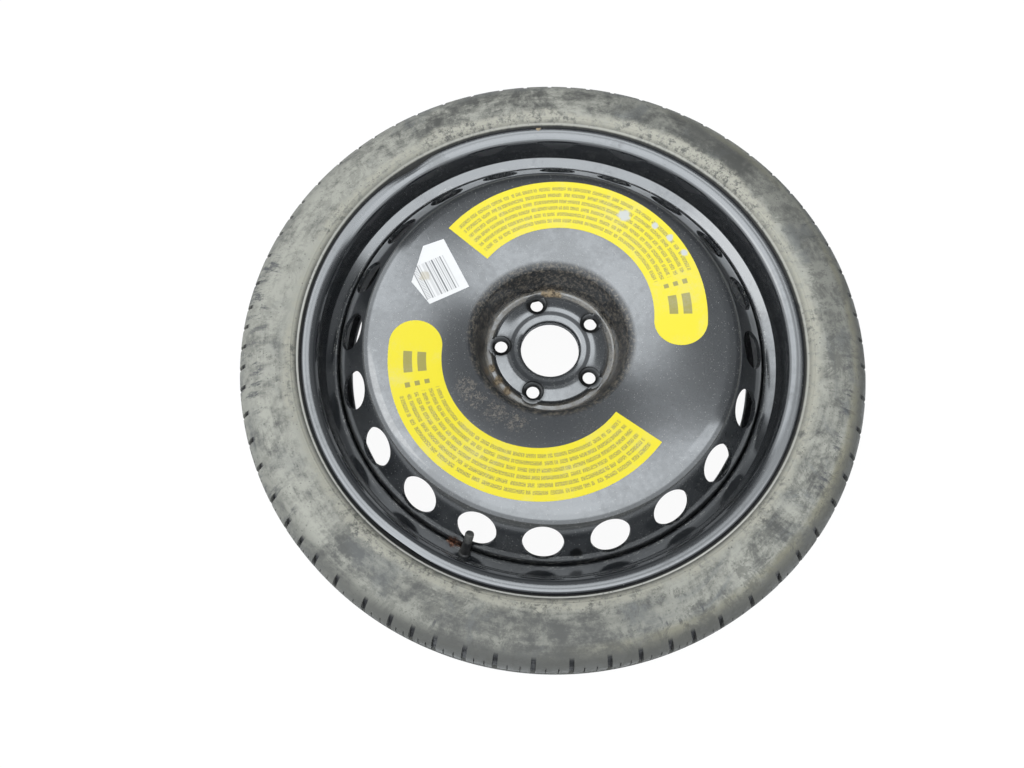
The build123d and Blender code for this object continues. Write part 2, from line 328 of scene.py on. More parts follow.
def dust_effect(shader: Shader, inputs: bpy.types.NodeOutputs) -> dict[str, Socket]:
    """Uneven film of dust, in cloudy patches with a fine break-up.

    Args:
        shader: builder of the group's tree.
        inputs: the group's inputs: scale and cover.

    Returns:
        Output sockets by name.
    """
    place = shader.place()
    cloud = shader.noise(place, inputs["Scale"], 5.0, 0.6, 0.6)
    fine = shader.noise(place, shader.math("MULTIPLY", inputs["Scale"], 14.0), 3.0, 0.65)
    both = shader.math("ADD", shader.math("MULTIPLY", cloud, 0.72), shader.math("MULTIPLY", fine, 0.28))
    least = shader.math("SUBTRACT", 0.75, shader.math("MULTIPLY", inputs["Cover"], 0.5))
    level = shader.math("SUBTRACT", both, least)
    mask = shader.fade(level, -0.12, 0.14)
    return {"Mask": mask}


def specks_effect(shader: Shader, inputs: bpy.types.NodeOutputs) -> dict[str, Socket]:
    """Small separate specks of grit.

    Args:
        shader: builder of the group's tree.
        inputs: the group's inputs: scale and amount.

    Returns:
        Output sockets by name.
    """
    place = shader.place()
    cells = shader.node("ShaderNodeTexVoronoi", feature="F1")
    shader.feed(cells.inputs["Vector"], place)
    shader.feed(cells.inputs["Scale"], inputs["Scale"])
    tint = shader.node("ShaderNodeSeparateColor")
    shader.feed(tint.inputs[0], cells.outputs["Color"])
    chosen = shader.math("LESS_THAN", tint.outputs[0], inputs["Amount"])
    size = shader.math("MULTIPLY", tint.outputs[1], 0.34)
    near = shader.math("LESS_THAN", cells.outputs["Distance"], size)
    return {"Mask": shader.product(chosen, near)}


def scratches_effect(shader: Shader, inputs: bpy.types.NodeOutputs) -> dict[str, Socket]:
    """Fine scratches in two crossing directions.

    Args:
        shader: builder of the group's tree.
        inputs: the group's inputs: scale and amount.

    Returns:
        Output sockets by name.
    """
    place = shader.place()
    lines = []
    for turn, stretch in ((0.5, 26.0), (-0.9, 34.0)):
        mapping = shader.node("ShaderNodeMapping")
        shader.feed(mapping.inputs["Vector"], place)
        mapping.inputs["Rotation"].default_value = (0.0, 0.0, turn)
        mapping.inputs["Scale"].default_value = (1.0, stretch, 1.0)
        lay = shader.noise(mapping.outputs[0], inputs["Scale"], 2.0, 0.5, 0.2)
        ridge = shader.apart(lay, 0.5)
        lines.append(shader.fade(ridge, 0.0, 0.012, 1.0, 0.0))
    patch = shader.noise(place, 9.0, 3.0, 0.6)
    gate = shader.math("GREATER_THAN", patch, shader.inverse(inputs["Amount"]))
    return {"Mask": shader.product(shader.math("MAXIMUM", *lines), gate)}


def spot_effect(shader: Shader, inputs: bpy.types.NodeOutputs) -> dict[str, Socket]:
    """One ragged patch round a place.

    Args:
        shader: builder of the group's tree.
        inputs: the group's inputs: centre in mm, reach in mm and raggedness.

    Returns:
        Output sockets by name.
    """
    place = shader.place()
    scaled = shader.node("ShaderNodeVectorMath", operation="SCALE")
    shader.feed(scaled.inputs[0], place)
    scaled.inputs["Scale"].default_value = 1 / MM
    away = shader.node("ShaderNodeVectorMath", operation="DISTANCE")
    shader.feed(away.inputs[0], scaled.outputs[0])
    shader.feed(away.inputs[1], inputs["Centre"])
    rough = shader.math("SUBTRACT", shader.noise(place, 160.0, 4.0, 0.7), 0.5)
    share = shader.math("DIVIDE", away.outputs["Value"], inputs["Reach"])
    edge = shader.math("ADD", share, shader.math("MULTIPLY", rough, inputs["Ragged"]))
    return {"Mask": shader.fade(edge, 0.55, 1.0, 1.0, 0.0)}


def grain_effect(shader: Shader, inputs: bpy.types.NodeOutputs) -> dict[str, Socket]:
    """Fine even grain for a height field.

    Args:
        shader: builder of the group's tree.
        inputs: the group's inputs: scale.

    Returns:
        Output sockets by name.
    """
    place = shader.place()
    return {"Height": shader.noise(place, inputs["Scale"], 3.0, 0.6)}


EFFECTS: dict[Effect, tuple[Callable[..., dict[str, Socket]], dict[str, object]]] = {
    Effect.POLAR: (polar_effect, {"Centre X": 0.0, "Centre Y": 0.0}),
    Effect.DUST: (dust_effect, {"Scale": 12.0, "Cover": 0.5}),
    Effect.SPECKS: (specks_effect, {"Scale": 300.0, "Amount": 0.1}),
    Effect.SCRATCHES: (scratches_effect, {"Scale": 8.0, "Amount": 0.4}),
    Effect.SPOT: (spot_effect, {"Centre": (0.0, 0.0, 0.0), "Reach": 10.0, "Ragged": 0.5}),
    Effect.GRAIN: (grain_effect, {"Scale": 900.0}),
}


def effect_tree(effect: Effect) -> bpy.types.NodeTree:
    """Build an effect's node group once and give it back after that.

    Args:
        effect: which effect.

    Returns:
        The node group.
    """
    if effect.value in bpy.data.node_groups:
        return bpy.data.node_groups[effect.value]
    build, inputs = EFFECTS[effect]
    tree = bpy.data.node_groups.new(effect.value, "ShaderNodeTree")
    for name, value in inputs.items():
        kind = "NodeSocketVector" if isinstance(value, tuple) else "NodeSocketFloat"
        tree.interface.new_socket(name, in_out="INPUT", socket_type=kind).default_value = value
    shader = Shader(tree)
    outputs = build(shader, shader.node("NodeGroupInput").outputs)
    for name, socket in outputs.items():
        kind = "NodeSocketVector" if socket.type == "VECTOR" else "NodeSocketFloat"
        tree.interface.new_socket(name, in_out="OUTPUT", socket_type=kind)
    end = shader.node("NodeGroupOutput")
    for name, socket in outputs.items():
        shader.feed(end.inputs[name], socket)
    return tree


@dataclass(frozen=True)
class Finish:
    """Base of every finish: one material with a Principled shader."""

    name: str

    def material(self) -> bpy.types.Material:
        """Build the material once and give it back after that.

        Returns:
            The material.
        """
        if self.name in bpy.data.materials:
            return bpy.data.materials[self.name]
        material = bpy.data.materials.new(self.name)
        material.use_nodes = True
        tree = material.node_tree
        self.dress(Shader(tree), tree.nodes["Principled BSDF"].inputs)
        return material

    def dress(self, shader: Shader, surface: bpy.types.NodeInputs) -> None:
        """Join the finish's nodes to the shader.

        Args:
            shader: builder of the material's tree.
            surface: inputs of the Principled shader.
        """
        raise NotImplementedError

    def spots(self, shader: Shader, places: Spots, ragged: float = 1.3) -> Socket | float:
        """Join the masks of several ragged spots.

        Args:
            shader: builder of the material's tree.
            places: x, y, z and reach in mm of each spot.
            ragged: how far the edges stray.

        Returns:
            The joint mask's socket, or zero where there is no spot.
        """
        mask: Socket | float = 0.0
        for x, y, z, reach in places:
            spot = shader.effect(Effect.SPOT, Centre=(x, y, z), Reach=reach, Ragged=ragged).outputs["Mask"]
            mask = shader.math("MAXIMUM", mask, spot)
        return mask


@dataclass(frozen=True)
class TyreRubber(Finish):
    """Dusty tyre rubber: beige by the rim, bluish smears, and a dark tread that painted shade darkens
    further; painted shade and shadow by the lip and in the cuts, and a painted highlight line along the
    bead.
    """

    rubber: Colour = (0.050, 0.049, 0.044)
    dusty: Colour = (0.238, 0.232, 0.200)
    beige: Colour = (0.258, 0.246, 0.203)
    blue: Colour = (0.104, 0.108, 0.108)
    # Colour of the painted highlight line along the bead.
    chalk_and_highlight: Colour = (0.480, 0.465, 0.420)
    smudge: Colour = (0.030, 0.031, 0.038)
    soil: Colour = (0.200, 0.180, 0.110)
    # Colour of the painted shadow by the lip and of the painted shade in the cuts.
    deep: Colour = (0.006, 0.006, 0.007)
    inner_mm: float = 274.0
    line_mm: float = 283.0
    wall_mm: float = 318.0
    tread_mm: float = 338.0
    soil_side: Triple = (0.9, -0.43, 0.0)
    # Side on which the painted shade on the shoulders is strongest.
    shaded_near_side: Triple = (0.5, -0.87, 0.0)
    # Side on which the painted shade and the painted highlight by the lip are strongest.
    lip_contrast_side: Triple = (-0.7, -0.7, 0.0)
    # Side towards which the wall is made lighter.
    lighter_side: Triple = (-0.98, 0.2, 0.0)
    # Sides on which the wall gets painted shade: direction, fade start, fade end and depth.
    shaded_sides: tuple[tuple[Triple, float, float, float], ...] = (
        ((0.95, 0.3, 0.0), 0.45, 1.0, 0.55), ((-0.34, -0.94, 0.0), 0.75, 1.0, 0.35))

    def dress(self, shader: Shader, surface: bpy.types.NodeInputs) -> None:
        """Join the finish's nodes to the shader.

        Args:
            shader: builder of the material's tree.
            surface: inputs of the Principled shader.
        """
        polar = shader.effect(Effect.POLAR).outputs
        radius, place = polar["Radius"], polar["Place"]
        streak = shader.noise(polar["Round"], 5.0, 5.0, 0.62)
        cloud = shader.noise(place, 11.0, 6.0, 0.72, 0.8)
        mottle = shader.noise(place, 60.0, 6.0, 0.78)
        cover = shader.math("ADD", shader.product(cloud, 0.5), shader.product(mottle, 0.35))
        cover = shader.math("ADD", cover, shader.product(streak, 0.15))
        # Lighter towards the left: a little more film there, and further down fewer bluish smears and dark
        # scuffs.
        left_lift = shader.fade(shader.dot(polar["Outward"], self.lighter_side), 0.2, 0.9, 0.0, 0.035)
        film = shader.fade(shader.math("ADD", cover, left_lift), 0.42, 0.58)
        colour = shader.mix(film, self.rubber, self.dusty)
        smear = shader.fade(shader.noise(place, 8.0, 6.0, 0.7, 1.2), 0.53, 0.64)
        smear = shader.product(smear, shader.fade(radius, self.inner_mm + 10, self.inner_mm + 22))
        clear = shader.fade(shader.dot(polar["Outward"], self.lighter_side), 0.2, 0.9, 0.6, 0.2)
        colour = shader.mix(shader.product(smear, clear), colour, self.blue)
        reach = shader.math("ADD", radius, shader.product(shader.math("SUBTRACT", cloud, 0.5), 40.0))
        near = shader.fade(reach, self.inner_mm + 11, self.inner_mm + 20, 1.0, 0.0)
        chalk_and_highlight = shader.fade(shader.noise(place, 150.0, 5.0, 0.8), 0.40, 0.54, 0.10, 0.95)
        colour = shader.mix(shader.product(chalk_and_highlight, near), colour, self.beige)
        rays = shader.fade(shader.noise(polar["Spokes"], 34.0, 5.0, 0.75), 0.52, 0.62)
        patch = shader.fade(shader.noise(place, 6.0, 3.0, 0.6), 0.50, 0.60)
        rays = shader.product(rays, patch, shader.fade(radius, self.wall_mm - 14, self.wall_mm + 2))
        colour = shader.mix(shader.product(rays, 0.85), colour, self.smudge)
        soil = shader.effect(Effect.DUST, Scale=13.0, Cover=0.62).outputs["Mask"]
        soiled = shader.fade(shader.dot(polar["Outward"], self.soil_side), 0.1, 0.6)
        soil = shader.product(soil, soiled, shader.fade(radius, self.wall_mm, self.wall_mm + 8))
        colour = shader.mix(shader.product(soil, 0.6), colour, self.soil)
        scuffs = shader.fade(shader.noise(place, 34.0, 7.0, 0.85, 0.5), 0.50, 0.58, 0.0, 0.55)
        pale = shader.fade(shader.dot(polar["Outward"], self.lighter_side), 0.2, 0.9, 1.0, 0.5)
        scuffs = shader.product(scuffs, pale, shader.fade(radius, self.line_mm, self.line_mm + 12))
        colour = shader.mix(scuffs, colour, self.rubber)
        # Painted shade: the shoulders darken towards the tread, most on the lower right, and further out
        # the wall darkens towards the right and the bottom.
        shade = shader.fade(radius, self.wall_mm - 2, self.tread_mm, 0.0, 0.95)
        shade_by_side = shader.fade(shader.dot(polar["Outward"], self.shaded_near_side), -0.5, 0.4, 0.35, 1.0)
        shade = shader.product(shade, shade_by_side)
        for side, start, end, depth in self.shaded_sides:
            turned_to = shader.fade(shader.dot(polar["Outward"], side), start, end, 0.0, depth)
            turned_to = shader.product(turned_to, shader.fade(radius, self.line_mm + 4, self.line_mm + 20))
            shade = shader.math("MAXIMUM", shade, turned_to)
        colour = shader.mix(shade, colour, self.rubber)
        # Painted shade in the crease by the rim lip, broken up by mottle, stronger on the lower left.
        lip_crease_shade = shader.fade(radius, self.line_mm - 5, self.line_mm - 1.5, 0.75, 0.0)
        crease_shade_by_side = shader.fade(shader.dot(polar["Outward"], self.lip_contrast_side), -0.4, 0.5, 0.5, 1.25)
        colour = shader.mix(shader.product(lip_crease_shade, mottle, 1.6, crease_shade_by_side), colour, self.rubber)
        # Painted highlight: a thin pale line along the bead just outside the lip, brighter on the lower
        # left.
        bead_highlight = shader.apart(radius, self.inner_mm + 2.9)
        lit = shader.fade(shader.dot(polar["Outward"], self.lip_contrast_side), -0.3, 0.5, 0.35, 0.95)
        bead_highlight = shader.product(shader.fade(bead_highlight, 0.4, 1.1, 1.0, 0.0), lit)
        colour = shader.mix(bead_highlight, colour, self.chalk_and_highlight)
        # Painted shadow in the gap between the tyre and the rim lip.
        gap = shader.fade(radius, self.inner_mm + 1.2, self.inner_mm + 2.4, 0.9, 0.0)
        colour = shader.mix(gap, colour, self.deep)
        specks = shader.effect(Effect.SPECKS, Scale=330.0, Amount=0.30).outputs["Mask"]
        colour = shader.mix(shader.product(specks, 0.5), colour, self.rubber)
        # Painted shade in the slots and sipes, darker where the cut goes deeper.
        cut = shader.node("ShaderNodeAttribute", attribute_name="cut").outputs["Fac"]
        colour = shader.mix(cut, colour, self.deep)
        shader.feed(surface["Base Color"], colour)
        shader.feed(surface["Roughness"], shader.fade(film, 0.0, 1.0, 0.55, 0.86))
        surface["Specular IOR Level"].default_value = 0.35
        grain = shader.effect(Effect.GRAIN, Scale=700.0).outputs["Height"]
        lump = shader.noise(place, 90.0, 3.0, 0.6)
        height = shader.math("ADD", shader.product(grain, 0.5), shader.product(lump, 0.5))
        away = shader.apart(radius, self.line_mm)
        height = shader.math("ADD", height, shader.fade(away, 0.3, 1.0, 0.9, 0.0))
        shader.feed(surface["Normal"], shader.bump(height, 0.45, 0.6 * MM))


@dataclass(frozen=True)
class BlackPaint(Finish):
    """Black paint on pressed steel, with dust, grit, scratches, rust spots and painted shadow on listed
    spots.
    """

    paint: Colour = (0.011, 0.012, 0.0135)
    dust: Colour = (0.20, 0.195, 0.18)
    rust: Colour = (0.14, 0.055, 0.028)
    rust_dark: Colour = (0.012, 0.007, 0.006)
    flake: Colour = (0.32, 0.25, 0.20)
    soil: Colour = (0.22, 0.17, 0.11)
    soil_dark: Colour = (0.045, 0.034, 0.024)
    gloss: float = 0.16
    dull: float = 0.42
    cover: float = 0.35
    dusting: float = 0.10
    grit: float = 0.06
    scratches: float = 0.26
    index: float = 1.7
    shine: float = 1.0
    coat_mm: tuple[float, ...] = ()
    coat_rough: float = 0.16
    groove_mm: float = 0.0
    seam_mm: tuple[float, ...] = ()
    worn: tuple[float, ...] = ()
    bare: Colour = (0.185, 0.172, 0.152)
    haze: Colour = (0.115, 0.098, 0.078)
    rust_spots: Spots = ()
    soil_spots: Spots = ()
    shadow_spots: Spots = ()
    hole_shadow_spots: Spots = ()
    hub_mm: tuple[float, ...] = ()
    hub_wall_mm: Point = (75.0, 79.0)
    hub_dirt_mm: Point = (64.0, 68.0)
    groove_fade_mm: Point = (1.6, 3.2)
    coat_index: float = 2.2
    shadow: Colour = (0.003, 0.003, 0.003)
    grit_spots: Spots = ()

    def coated(self, shader: Shader, film: Socket, *marks: Source) -> Socket | float:
        """Return how much of the gloss coat is left.

        Args:
            shader: builder of the material's tree.
            film: mask of the dust.
            marks: masks of what covers the coat.

        Returns:
            The coat's weight.
        """
        if not self.coat_mm:
            return 0.0
        radius = shader.effect(Effect.POLAR).outputs["Radius"]
        reach = shader.fade(radius, *self.coat_mm, 1.0, 0.0)
        left = shader.product(reach, shader.fade(film, 0.0, 1.0, 1.0, 0.75))
        if self.hub_mm:
            wall = shader.fade(radius, *self.hub_wall_mm)
            wall = shader.product(wall, shader.fade(radius, *self.hub_mm, 0.85, 0.0))
            groove = shader.fade(shader.apart(radius, self.groove_mm), *self.groove_fade_mm, 0.9, 0.0)
            left = shader.product(left, shader.inverse(wall), shader.inverse(groove))
        return shader.product(left, *[shader.inverse(mark) for mark in marks])

    def seam(self, shader: Shader) -> Socket:
        """Mask the dirt that lies in fine lines along a seam.

        Args:
            shader: builder of the material's tree.

        Returns:
            The dirt's mask.
        """
        start, end = self.seam_mm
        polar = shader.effect(Effect.POLAR).outputs
        lines = shader.fade(shader.noise(polar["Round"], 16.0, 5.0, 0.75), 0.52, 0.62)
        grains = shader.fade(shader.noise(polar["Place"], 330.0, 3.0, 0.8), 0.42, 0.60)
        return shader.product(lines, grains, 0.9, shader.fade(polar["Radius"], start, start + 3.0),
                              shader.fade(polar["Radius"], end - 0.5, end, 1.0, 0.0))

    def worn_ring(self, shader: Shader) -> Socket:
        """Mask the ring that is rubbed bare and dusty.

        Args:
            shader: builder of the material's tree.

        Returns:
            The ring's mask.
        """
        inner, outer, top = self.worn
        polar = shader.effect(Effect.POLAR).outputs
        patch = shader.fade(shader.noise(polar["Place"], 110.0, 6.0, 0.85), 0.36, 0.62, 0.10, 0.95)
        return shader.product(patch, shader.fade(polar["Radius"], inner, inner + 1.0),
                              shader.fade(polar["Radius"], outer - 4.0, outer, 1.0, 0.0),
                              shader.fade(polar["Height"], top - 0.8, top, 1.0, 0.0))

    def hub_dirt(self, shader: Shader) -> Socket:
        """Mask the brownish grit that lies on the wall round the hub.

        Args:
            shader: builder of the material's tree.

        Returns:
            The grit's mask.
        """
        polar = shader.effect(Effect.POLAR).outputs
        grains = shader.fade(shader.noise(polar["Place"], 260.0, 5.0, 0.85), 0.48, 0.60)
        ring = shader.product(shader.fade(polar["Radius"], *self.hub_dirt_mm),
                              shader.fade(polar["Radius"], *self.hub_mm, 1.0, 0.0))
        return shader.product(grains, shader.math("MAXIMUM", ring, self.spots(shader, self.grit_spots)))

    def dress(self, shader: Shader, surface: bpy.types.NodeInputs) -> None:
        """Join the finish's nodes to the shader.

        Args:
            shader: builder of the material's tree.
            surface: inputs of the Principled shader.
        """
        film = shader.effect(Effect.DUST, Scale=11.0, Cover=self.cover).outputs["Mask"]
        grit = shader.effect(Effect.SPECKS, Scale=620.0, Amount=self.grit).outputs["Mask"]
        marks = shader.effect(Effect.SCRATCHES, Scale=7.0, Amount=self.scratches).outputs["Mask"]
        colour = shader.mix(shader.product(film, self.dusting), self.paint, self.dust)
        colour = shader.mix(shader.product(grit, 0.45), colour, self.dust)
        colour = shader.mix(shader.product(marks, 0.30), colour, self.dust)
        worn = self.worn_ring(shader) if self.worn else 0.0
        colour = shader.mix(worn, colour, self.bare)
        hub = self.hub_dirt(shader) if self.hub_mm else 0.0
        colour = shader.mix(shader.product(hub, 0.8), colour, self.haze)
        # Painted shadow: near-black on the listed spots and round each bolt hole.
        dark = self.spots(shader, self.shadow_spots)
        dark = shader.math("MAXIMUM", dark, self.spots(shader, self.hole_shadow_spots, 0.15))
        colour = shader.mix(dark, colour, self.shadow)
        rust = self.spots(shader, self.rust_spots)
        soil = self.spots(shader, self.soil_spots)
        flake = shader.noise(shader.place(), 330.0, 3.0, 0.75)
        flaked = shader.mix(shader.fade(flake, 0.44, 0.52), self.rust_dark, self.rust)
        colour = shader.mix(rust, colour, shader.mix(shader.fade(flake, 0.60, 0.63), flaked, self.flake))
        soiled = shader.mix(shader.fade(flake, 0.35, 0.6), self.soil_dark, self.soil)
        colour = shader.mix(soil, colour, soiled)
        if self.seam_mm:
            colour = shader.mix(self.seam(shader), colour, self.dust)
        shader.feed(surface["Base Color"], colour)
        rough = shader.fade(film, 0.0, 1.0, self.gloss, self.dull)
        rough = shader.math("MAXIMUM", rough, shader.product(shader.math("MAXIMUM", rust, soil), 0.85))
        shader.feed(surface["Roughness"], rough)
        surface["IOR"].default_value = self.index
        surface["Specular IOR Level"].default_value = self.shine
        surface["Coat IOR"].default_value = self.coat_index
        surface["Coat Roughness"].default_value = self.coat_rough
        shader.feed(surface["Coat Weight"], self.coated(shader, film, dark, worn, rust, soil))
        grain = shader.effect(Effect.GRAIN, Scale=260.0).outputs["Height"]
        height = shader.math("SUBTRACT", grain, shader.product(marks, 0.4))
        shader.feed(surface["Normal"], shader.bump(height, 0.05, 0.3 * MM))


@dataclass(frozen=True)
class YellowFilm(Finish):
    """Bright yellow film with rows of plain grey dashes along its arc."""

    centre: Point = (0.0, 0.0)
    start_deg: float = 0.0
    film: Colour = (0.52, 0.43, 0.003)
    ink: Colour = (0.09, 0.086, 0.05)
    scuff: Colour = (0.36, 0.36, 0.34)
    inner_mm: float = 104.0
    outer_mm: float = 161.0
    rows: int = 6
    margin_mm: float = 5.0
    blocks: tuple[tuple[float, float, float, float], ...] = (
        (8.7, 5.2, 125.0, 5.0), (8.7, 5.2, 140.0, 5.0), (19.5, 1.3, 122.0, 3.0), (19.5, 1.3, 132.5, 3.0),
        (19.5, 1.3, 143.0, 3.0))
    scuff_spots: Spots = ()

    def dress(self, shader: Shader, surface: bpy.types.NodeInputs) -> None:
        """Join the finish's nodes to the shader.

        Args:
            shader: builder of the material's tree.
            surface: inputs of the Principled shader.
        """
        polar = shader.effect(Effect.POLAR, Centre_X=self.centre[0], Centre_Y=self.centre[1]).outputs
        turn = shader.math("SUBTRACT", polar["Turn"], self.start_deg / 360.0)
        turn = shader.math("SUBTRACT", turn, shader.math("FLOOR", turn))
        first = self.inner_mm + self.margin_mm
        pitch = (self.outer_mm - self.inner_mm - 2 * self.margin_mm) / self.rows
        line = shader.math("DIVIDE", shader.math("SUBTRACT", polar["Radius"], first), pitch)
        row = shader.math("FLOOR", line)
        across = shader.apart(shader.math("SUBTRACT", line, row), 0.5)
        body = shader.fade(across, 0.24, 0.32, 1.0, 0.0)
        inside = shader.product(shader.math("GREATER_THAN", line, 0.0),
                                shader.math("LESS_THAN", line, self.rows))
        along = shader.math("MULTIPLY", turn, 360.0)
        words = shader.node("ShaderNodeTexNoise", noise_dimensions="2D")
        shader.feed(words.inputs["Vector"], shader.vector(along, shader.math("MULTIPLY", row, 7.3), 0.0))
        words.inputs["Scale"].default_value = 0.55
        words.inputs["Detail"].default_value = 1.0
        gaps = shader.fade(words.outputs["Fac"], 0.36, 0.40)
        strokes = shader.node("ShaderNodeTexNoise", noise_dimensions="2D")
        shader.feed(strokes.inputs["Vector"], shader.vector(along, shader.math("MULTIPLY", line, 1.6), 0.0))
        strokes.inputs["Scale"].default_value = 3.4
        strokes.inputs["Detail"].default_value = 2.0
        dashes = shader.fade(strokes.outputs["Fac"], 0.40, 0.52)
        span = shader.product(shader.fade(along, 23.5, 24.0), shader.fade(along, 143.0, 144.5, 1.0, 0.0))
        ink = shader.product(body, inside, gaps, dashes, span)
        for away, reach, middle, half in self.blocks:
            apart = shader.apart(along, away)
            aside = shader.apart(polar["Radius"], middle)
            block = shader.product(shader.fade(apart, reach - 0.25, reach, 1.0, 0.0),
                                   shader.fade(aside, half - 0.6, half, 1.0, 0.0))
            ink = shader.math("MAXIMUM", ink, block)
        colour = shader.mix(shader.product(ink, 0.72), self.film, self.ink)
        worn = shader.effect(Effect.DUST, Scale=30.0, Cover=0.30).outputs["Mask"]
        colour = shader.mix(shader.product(worn, 0.25), colour, self.scuff)
        colour = shader.mix(self.spots(shader, self.scuff_spots, 1.2), colour, self.scuff)
        shader.feed(surface["Base Color"], colour)
        shader.feed(surface["Roughness"], shader.fade(worn, 0.0, 1.0, 0.38, 0.6))
        grain = shader.effect(Effect.GRAIN, Scale=320.0).outputs["Height"]
        shader.feed(surface["Normal"], shader.bump(grain, 0.06, 0.2 * MM))


@dataclass(frozen=True)
class WhiteFilm(Finish):
    """White film with plain dark bars along it."""

    corner: Point = (-72.5, 81.0)
    along: Point = (-0.216, 0.976)
    film: Colour = (0.51, 0.495, 0.485)
    ink: Colour = (0.045, 0.045, 0.05)
    stain: Colour = (0.30, 0.26, 0.18)
    stain_spot: tuple[float, ...] = (-117.7, 103.8, 48.0, 7.0)
    bars: tuple[Triple, ...] = (
        (10.5, 0.5, 0.45), (13.8, 0.7, 0.9), (16.2, 0.9, 0.3), (18.8, 0.6, 0.7), (21.2, 0.5, 0.4),
        (24.0, 0.9, 0.95), (26.8, 0.6, 0.6), (28.6, 0.5, 0.3), (31.3, 1.0, 0.75), (35.0, 1.6, 0.25),
        (39.5, 0.5, 0.5), (42.0, 0.7, 0.9), (48.6, 0.6, 0.8))
    bar_ends: Point = (4.5, 47.0)

    def dress(self, shader: Shader, surface: bpy.types.NodeInputs) -> None:
        """Join the finish's nodes to the shader.

        Args:
            shader: builder of the material's tree.
            surface: inputs of the Principled shader.
        """
        place = shader.place()
        split = shader.node("ShaderNodeSeparateXYZ")
        shader.feed(split.inputs[0], place)
        x = shader.math("SUBTRACT", shader.math("MULTIPLY", split.outputs[0], 1 / MM), self.corner[0])
        y = shader.math("SUBTRACT", shader.math("MULTIPLY", split.outputs[1], 1 / MM), self.corner[1])
        up = shader.math("ADD", shader.product(x, self.along[0]), shader.product(y, self.along[1]))
        over = shader.math("SUBTRACT", shader.product(y, self.along[0]), shader.product(x, self.along[1]))
        low, high = self.bar_ends
        block = shader.product(shader.fade(up, low, low + 0.4), shader.fade(up, high - 0.4, high, 1.0, 0.0))
        rows = shader.math("GREATER_THAN", shader.math("SINE", shader.product(up, 3.4)), 0.1)
        ink = shader.product(rows, shader.fade(over, 43.4, 43.8), shader.fade(over, 47.2, 47.6, 0.6, 0.0))
        for middle, half, weight in self.bars:
            apart = shader.apart(over, middle)
            ink = shader.math("MAXIMUM", ink, shader.fade(apart, half - 0.3, half + 0.3, weight, 0.0))
        ink = shader.product(ink, block)
        worn = shader.effect(Effect.DUST, Scale=26.0, Cover=0.35).outputs["Mask"]
        x0, y0, z0, reach = self.stain_spot
        stain = shader.effect(Effect.SPOT, Centre=(x0, y0, z0), Reach=reach, Ragged=1.2).outputs["Mask"]
        colour = shader.mix(shader.product(ink, 0.9), self.film, self.ink)
        colour = shader.mix(shader.product(stain, 0.6), colour, self.stain)
        colour = shader.mix(shader.product(worn, 0.15), colour, (0.34, 0.34, 0.32))
        shader.feed(surface["Base Color"], colour)
        shader.feed(surface["Roughness"], shader.fade(worn, 0.0, 1.0, 0.45, 0.65))


@dataclass(frozen=True)
class PlainFinish(Finish):
    """Small hardware: one colour broken up by dust and a fine grain."""

    colour: Colour = (0.02, 0.02, 0.02)
    dust: Colour = (0.2, 0.19, 0.17)
    metallic: float = 0.0
    rough_low: float = 0.45
    rough_high: float = 0.75
    cover: float = 0.45
    dusting: float = 0.35

    def dress(self, shader: Shader, surface: bpy.types.NodeInputs) -> None:
        """Join the finish's nodes to the shader.

        Args:
            shader: builder of the material's tree.
            surface: inputs of the Principled shader.
        """
        film = shader.effect(Effect.DUST, Scale=60.0, Cover=self.cover).outputs["Mask"]
        colour = shader.mix(shader.product(film, self.dusting), self.colour, self.dust)
        shader.feed(surface["Base Color"], colour)
        shader.feed(surface["Roughness"], shader.fade(film, 0.0, 1.0, self.rough_low, self.rough_high))
        surface["Metallic"].default_value = self.metallic
        grain = shader.effect(Effect.GRAIN, Scale=1500.0).outputs["Height"]
        shader.feed(surface["Normal"], shader.bump(grain, 0.15, 0.1 * MM))


@dataclass(frozen=True)
class BentLine:
    """Straight runs joined by round bends, drawn as (radius, height)."""

    corners: tuple[Point, ...]
    bends: tuple[float, ...]
    step_deg: float = 8.0

    def points(self) -> list[Point]:
        """Return the line's points, with each bend divided evenly.

        Returns:
            Points from the first corner to the last.
        """
        line = [self.corners[0]]
        for before, at, after, bend in zip(self.corners, self.corners[1:], self.corners[2:], self.bends):
            corner = Vector(at)
            back = (Vector(before) - corner).normalized()
            on = (Vector(after) - corner).normalized()
            half = back.angle(on) / 2
            reach = bend / math.tan(half)
            centre = corner + (back + on).normalized() * (bend / math.sin(half))
            start = corner + back * reach - centre
            turn = start.angle_signed(corner + on * reach - centre)
            count = max(2, math.ceil(abs(math.degrees(turn)) / self.step_deg))
            for i in range(count + 1):
                angle = -turn * i / count
                swing = Vector((start.x * math.cos(angle) - start.y * math.sin(angle),
                                start.x * math.sin(angle) + start.y * math.cos(angle)))
                line.append(tuple(centre + swing))
        line.append(self.corners[-1])
        return line

    def sheet(self, gauge: float, divide: float = 0.0) -> list[Point]:
        """Return the closed outline of a sheet along the line.

        Args:
            gauge: thickness of the sheet.
            divide: longest run left undivided, or 0 to divide none.

        Returns:
            Points along one side and back along the other, with round ends.
        """
        line = self.points()
        if divide:
            line = divided(line, divide)
        sides: list[list[Point]] = [[], []]
        ends = []
        for i, point in enumerate(line):
            ahead = (Vector(line[min(i + 1, len(line) - 1)]) - Vector(line[max(i - 1, 0)])).normalized()
            across = Vector((-ahead.y, ahead.x)) * gauge / 2
            sides[0].append(tuple(Vector(point) + across))
            sides[1].append(tuple(Vector(point) - across))
            if i in (0, len(line) - 1):
                out = ahead * gauge / 2 * (1 if i else -1)
                turns = [math.radians(30.0 * k) for k in range(1, 6)]
                start = across if i else -across
                ends.append([tuple(Vector(point) + start * math.cos(t) + out * math.sin(t)) for t in turns])
        return sides[0] + ends[1] + sides[1][::-1] + ends[0]


